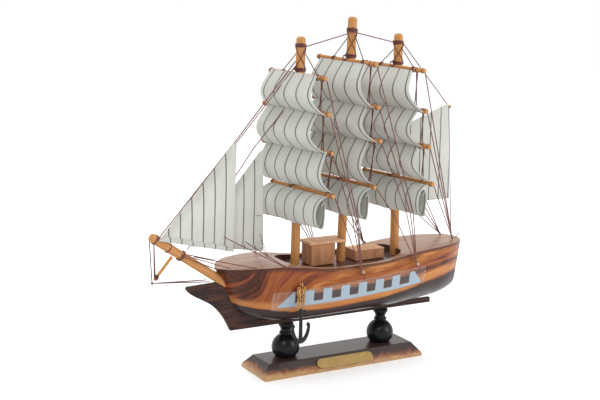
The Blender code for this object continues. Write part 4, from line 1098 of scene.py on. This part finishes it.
def bracesFor(name, mast):
    for side, which in ((1, 0), (-1, 1)):
        shape = Shape()
        end = np.array(knots[name][which])
        for i in range(4):
            start = yardEnd(mast, i, side)
            route = [start, end]
            if side > 0 and name in bends:
                y, z = bends[name]
                straight = start + (end - start) * (start[2] - z) / (start[2] - end[2])
                route.insert(1, np.array([straight[0], y, z]))
            line(shape, route, sag=0.0 if len(route) > 2 else None)
            _, port, _ = yardFrame(mast, i)
            wrap(shape, yardEnd(mast, i, side, behind=0.0), port, rig["yardRadius"], 1.5, 0.2)
        knot(shape, end, 0.8, side)
        label = "Port" if side > 0 else "Starboard"
        shape.build(f"{name}{label}Braces", paints["thread"], "brown_thread",
                    [f"{name}_{label.lower()}_braces"])


def lashingsFor(name, mast):
    # loops that hold each yard to its mast: f = -3.2 + 5 cos a ahead, 3.8 sin a across, 2.6 sin a up
    shape = Shape()
    for i in range(4):
        middle, port, ahead = yardFrame(mast, i)
        for hand, shift in ((1, 0.0), (-1, 0.45), (1, 0.7), (-1, -0.4)):
            a = np.linspace(0, 2 * math.pi, 61)
            path = (middle + ahead * (-3.2 + 5.05 * np.cos(a))[:, None] + port * (3.75 * np.sin(a))[:, None]
                    + np.array([0, 0, 1.0]) * (hand * 2.6 * np.sin(a) + shift * 0.6)[:, None])
            shape.tube(path * mm, 0.26 * mm, 7, np.array([0.05, 0.02, 1.0]), 0.0, closed=True)
    # the two bands near the masthead, the crossed turns between them, and the lifts to the top yard
    high, low = mast["wraps"]
    axis = mastPoint(mast, high) - mastPoint(mast, low)
    wrap(shape, mastPoint(mast, high), axis, rig["mastRadius"], 3.5, 0.31)
    wrap(shape, mastPoint(mast, high - 0.3), axis, rig["mastRadius"] + 0.35, 2, 0.3, 0.9, 1.0)
    wrap(shape, mastPoint(mast, low), axis, rig["mastRadius"], 3.5, 0.31)
    wrap(shape, mastPoint(mast, low + 0.5), axis + np.array([1.6, 0, 0]), rig["mastRadius"] + 0.42, 2, 0.3, 0.9, 2.0)
    e, f = np.array([1.0, 0, 0]), np.array([0, 1.0, 0])
    for hand, start in ((1, 2.6), (-1, -0.4), (1, 5.3)):
        t = np.linspace(0, 1, 40)
        a = start + hand * math.pi * t
        out = np.cos(a)[:, None] * e + np.sin(a)[:, None] * f
        centre = mastPoint(mast, high) + (mastPoint(mast, low) - mastPoint(mast, high)) * t[:, None]
        shape.tube((centre + out * (rig["mastRadius"] + 0.28)) * mm, 0.27 * mm, 7, out, 0.12)
    middle, port, ahead = yardFrame(mast, 0)
    for side, reach in ((1, mast["liftPort"]), (-1, 10.5)):
        top = mastPoint(mast, high - 3.5) + np.array([0.4, -side * 3.1, 0])
        line(shape, [top, middle + port * side * reach + np.array([0, 0, 1.6])], 0.22, 0.0)
        wrap(shape, middle + port * side * reach, port, rig["yardRadius"], 4, 0.27)
    shape.build(name + "Lashings", paints["cord"], "brown_thread")


def droppersFor(name, mast):
    # paired threads that run down from yard to yard just outside the sails' edges
    shape = Shape()
    for side, edge in ((1, "sailPort"), (-1, "sailStarboard")):
        for i in range(3):
            middle, port, ahead = yardFrame(mast, i)
            lower, lowerPort, _ = yardFrame(mast, i + 1)
            here, there = mast[edge][i] + 2.1, max(mast[edge][i] + 1.5, mast[edge][i + 1] * 0.5)
            there = min(there, mast["port" if side > 0 else "starboard"][i + 1] - 1.5)
            for offset in (-0.45, 0.55):
                top = middle + port * side * (here + offset) - np.array([0, 0, 1.6]) - ahead * 0.3
                foot = lower + lowerPort * side * (there - offset * 1.6) + np.array([0, 0, 1.7]) - ahead * 0.2
                line(shape, [top, foot], 0.24, 0.0)
            wrap(shape, middle + port * side * here, port, rig["yardRadius"], 1.5, 0.22)
            wrap(shape, lower + lowerPort * side * there, lowerPort, rig["yardRadius"], 1.5, 0.22)
    # one stiff knotted end left on the port side
    middle, port, ahead = yardFrame(mast, 2)
    tail = middle + port * (mast["sailPort"][2] - 3.0) - np.array([0, 0, 2.2]) - ahead * 1.2
    for way in ((4.5, -3.0, -5.5), (-3.8, -2.5, 1.2), (3.0, -4.0, 2.4)):
        end = tail + np.array(way)
        route = [tail, (tail + end) / 2 + np.array([0.4, -0.5, 0.9]), end]
        shape.tube(resample(route, 0.4, True) * mm, 0.2 * mm, 6, (0.2, 0.3, 0.9), 0.1)
    knot(shape, tail, 0.7, 1.0)
    shape.build(name + "Droppers", paints["cord"], "brown_thread")


for name, mast in masts.items():
    bracesFor(name, mast)
    lashingsFor(name, mast)
    droppersFor(name, mast)


def spritPoint(share):
    heel, tip = np.array(sprit["heel"]), np.array(sprit["tip"])
    return heel + (tip - heel) * share


def staysAndGuys():
    spritWay = unit(np.array(sprit["tip"]) - np.array(sprit["heel"]))
    shape = Shape()
    line(shape, [(-33.9, 0, 209.0), (-78.6, -3.4, 159.4), (-132.2, -3.4, 100.4)], 0.27, 0.0)
    line(shape, [(-33.9, -0.8, 206.4), (-77.9, -3.7, 158.6)], 0.22, 0.0)
    shape.build("outerStay", paints["thread"], "brown_thread", ["outer_forestay"])
    shape = Shape()
    line(shape, [(-43.5, -2.0, 177.2), (-62.4, 1.9, 153.8), (-110.4, 0.6, 90.8)], 0.24, 0.0)
    shape.build("innerStay", paints["thread"], "brown_thread", ["inner_forestay"])
    shape = Shape()
    line(shape, [(-26.4, -1.2, 218.6), (7.6, -3.8, 227.6), (41.9, -1.2, 220.0)], 0.24, 0.0)
    shape.build("mastheadStay", paints["thread"], "brown_thread", ["masthead_stay"])
    shape = Shape()
    foot = np.array([-134.9, 0, 71.4])
    for end in ((-136.6, 0, 98.6), (-96.0, -2.6, 68.6), (-96.0, 2.6, 68.6)):
        line(shape, [foot, end], 0.24, 0.0)
    for end in ((-134.4, -2.2, 98.0), (-132.8, 2.0, 96.6)):
        line(shape, [(-133.0, 0.9 * np.sign(end[1]), 74.2), end], 0.22, 0.0)
    knot(shape, foot, 0.8)
    wrap(shape, (-131.9, 0, 74.9), (12.2, 0, 14.2), 1.0, 5, 0.28)
    shape.build("bobstays", paints["cord"], "brown_thread", ["bobstay"])
    shape = Shape()
    wrap(shape, spritPoint(0.66), spritWay, sprit["radius"], 2.5, 0.36)
    wrap(shape, spritPoint(0.663), spritWay + np.array([0.3, 0, 0.1]), sprit["radius"] + 0.3, 2, 0.3, 0.7)
    wrap(shape, spritPoint(0.95), spritWay, sprit["radius"], 2, 0.25)
    wrap(shape, spritPoint(0.80), spritWay, sprit["radius"], 1.5, 0.25)
    for end in ((-86.0, -12.2, 78.6), (-86.0, 12.2, 78.6)):
        line(shape, [spritPoint(0.68) + np.array([0, 3.1 * np.sign(end[1]), 0.8]), end], 0.22, 0.004)
    line(shape, [spritPoint(0.655) + np.array([0, -3.2, 0]), (-90.4, -1.9, 76.0)], 0.22, 0.004)
    rail = ((-87.6, -5.4, 98.2), (-52.0, -23.3, 78.4)), ((-72.0, -5.2, 93.4), (-51.6, -23.4, 78.3)), (
        (-107.5, -3.1, 86.5), (-70.6, -19.6, 78.7)), ((-57.0, 1.2, 86.0), (-50.4, 23.2, 78.2))
    for start, end in rail:
        line(shape, [start, end], 0.22, 0.004)
    knot(shape, (-51.8, -23.4, 78.3), 0.8)
    knot(shape, (-50.4, 23.2, 78.2), 0.7)
    shape.build("jibGuys", paints["thread"], "brown_thread")
    shape = Shape()
    mizzen = masts["mizzen"]
    top = mastPoint(mizzen, mizzen["wraps"][0] - 1) + np.array([3.2, -1.0, 0])
    line(shape, [top, (91.0, 2.0, 174.6)], 0.22, 0.0)
    line(shape, [(91.8, 2.0, 172.6), (95.0, -2.4, 80.6)], 0.2, 0.0)
    wrap(shape, (90.6, 2.0, 173.1), (42.4, 0, 15.6), 1.1, 4, 0.25)
    wrap(shape, (53.6, 2.0, 159.5), (42.4, 0, 15.6), 1.1, 4, 0.25)
    shape.tube(resample([(97.0, -4.6, 79.6), (98.6, -5.4, 81.6), (99.6, -6.0, 83.4)], 0.4, True) * mm, 0.3 * mm, 7)
    shape.build("gaffThreads", paints["thread"], "brown_thread")


staysAndGuys()


def looseEnds():
    # short cut ends that curl out of the knots; each runs out, then drops
    shape = Shape()
    ends = (((-92.0, 1.0, 131.6), (-4.0, -1.5, 2.6), (-9.0, -2.5, 1.2)),
            ((-57.6, 0.8, 92.0), (1.2, -2.0, -5.0), (3.4, -3.0, -12.0)),
            ((-58.4, 0.5, 96.5), (1.5, -3.0, -7.0), (4.6, -3.8, -15.5)),
            ((50.5, -25.4, 69.0), (1.0, -1.2, -2.0), (1.6, -1.6, -4.4)),
            ((5.6, -26.8, 68.6), (0.8, -1.0, -2.2), (0.6, -1.2, -4.6)),
            ((-57.5, 0.6, 108.0), (-2.0, -2.0, 1.2), (-4.8, -2.8, 1.0)))
    for start, first, second in ends:
        start = np.array(start)
        route = [start, start + np.array(first), start + np.array(second)]
        shape.tube(resample(route, 0.4, True) * mm, 0.19 * mm, 6, (0.25, 0.8, 0.31), 0.12)
    shape.build("looseEnds", paints["cord"], "brown_thread")


looseEnds()
glue = Shape()
for name, places in knots.items():
    for number, place in enumerate(places[:1] if name == "mizzen" else places):
        knot(glue, np.array(place) + np.array([0.5, 0.2 * (2 * number - 1), 0.7]), 1.15, 2.0 + number)
glue.build("glueSpots", paints["glue"], "plain_wood")
print("threads made")

# ---------- anchor and chain ----------

anchorAt = {"top": (-41.4, -26.6, 64.4), "step": 6.9, "shank": 22.5, "span": 6.2}


def link(shape, centre, way, flatWay, long=2.8, wide=2.6, wire=0.37):
    # an oval ring: centre + way L cos a + side W sin a
    way, flatWay = unit(np.asarray(way, float)), unit(np.asarray(flatWay, float))
    side = unit(np.cross(way, flatWay))
    a = np.linspace(0, 2 * math.pi, 29)
    stretch = np.sign(np.cos(a)) * np.abs(np.cos(a)) ** 0.8
    path = (np.asarray(centre, float) + way * ((long / 2 - wire) * stretch)[:, None]
            + side * ((wide / 2 - wire) * np.sin(a))[:, None])
    shape.tube(path * mm, wire * mm, 8, np.cross(way, side), closed=True)


def chainHalf(name, node, top, seed):
    # two strands side by side, each link turned a quarter from the last
    shape = Shape()
    for strand, offset in enumerate((-1.7, 1.6)):
        for i in range(5):
            drop = 0.95 + 1.05 * i
            sway = 0.25 * math.sin(2.1 * i + seed + strand * 1.4)
            centre = np.array(top) + np.array([offset * (0.55 if drop > 5.4 else 1.0) + sway, 0.12 * strand, -drop])
            turn = math.radians(45 + 90 * (i % 2) + 14 * math.sin(seed + i))
            link(shape, centre, (0.12 * math.sin(seed + i), 0.0, -1.0), (math.cos(turn), math.sin(turn), 0))
    shape.build(name, paints["chain"], "gilt_metal", [node], body=node)


def buildAnchor():
    top = np.array(anchorAt["top"])
    shape = Shape()
    ring = np.array([top[0], top[1], top[2] + 1.9])
    a = np.linspace(0, 2 * math.pi, 33)
    path = ring + 1.5 * np.stack([0 * a, np.cos(a), np.sin(a)], -1)
    shape.tube(path * mm, 0.4 * mm, 12, (1.0, 0, 0), closed=True)
    shape.tube(resample([ring + np.array([0, 1.3, 0]), (ring[0], -19.5, ring[2])], 0.8) * mm, 0.45 * mm, 12)
    shape.build("chainEye", paints["chain"], "gilt_metal", ["anchor_eye"])
    chainHalf("upperChain", "upper_chain", top, 0.4)
    chainHalf("lowerChain", "lower_chain", top - np.array([0, 0, anchorAt["step"]]), 2.0)
    pivot = top - np.array([0, 0, 2 * anchorAt["step"]])
    shape = Shape()
    drop = np.array([0.8, 1.4, 2.0, 3.4, 8.0, 15.0, 21.0, anchorAt["shank"]])
    size = np.array([0.6, 0.9, 1.1, 1.15, 1.2, 1.25, 1.35, 1.4])
    run = np.linspace(0.8, anchorAt["shank"], 40)
    path = pivot - np.array([0, 0, 1.0]) * run[:, None]
    shape.tube(path * mm, np.interp(run, drop, size) * mm, 16, (1.0, 0.05, 0))
    stock = np.linspace(-3.6, 3.6, 31)
    path = pivot + np.stack([stock, 0 * stock, -2.6 + 0 * stock], -1)
    shape.tube(path * mm, (0.75 + 0.2 * np.exp(-((np.abs(stock) - 3.2) / 0.35) ** 2)) * mm, 12, (0, 0, 1.0))
    knot(shape, pivot - np.array([0, 0, 2.1]), 1.35, 0.5)
    turn = np.radians(np.linspace(-172, -8, 45))
    span = anchorAt["span"]
    path = pivot + np.stack([span * np.cos(turn), 0 * turn, -anchorAt["shank"] + 11.6 + 12.2 * np.sin(turn)], -1)
    thick = 1.4 - 0.4 * np.abs(np.linspace(-1, 1, 45)) ** 1.5
    shape.tube(path * mm, thick * mm, 14, (0, 1.0, 0))
    for side in (-1, 1):
        # flukes: flattened leaf shapes, wide in the middle and pointed up
        t = np.linspace(0, 1, 17)
        tip = pivot + np.array([side * span * 0.99, 0, -anchorAt["shank"] + 10.4])
        path = tip + np.stack([-side * 0.8 * t, 0 * t, -1.7 + 3.3 * t], -1)
        shape.tube(path * mm, (0.25 + 1.1 * np.sin(math.pi * np.clip(t * 0.94 + 0.05, 0, 1)) ** 0.8) * mm, 12,
                   (0, 1.0, 0))
    shape.build("shipAnchor", paints["bronze"], "dark_bronze", ["anchor"], body="anchor", sharp=60)


buildAnchor()
print("anchor and chain made")

# ---------- floor ----------


def makeFloor():
    # a pale flat sheet, 12 m square, that runs under the ship
    u = np.linspace(-6, 6, 41)
    v = np.linspace(-6, 6, 61)
    x, y = np.meshgrid(u, v)
    points = np.stack([x, y, 0 * x - 0.00002], -1)
    shape = Shape().grid(points, np.stack([x, y], -1))
    mesh = bpy.data.meshes.new("paleFloor")
    mesh.from_pydata(np.concatenate(shape.points).tolist(), [], shape.faces)
    mesh.materials.append(paints["floor"])
    floor = bpy.data.objects.new("paleFloor", mesh)
    bpy.context.scene.collection.objects.link(floor)
    floor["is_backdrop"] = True


makeFloor()
low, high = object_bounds()
print("scene ready")
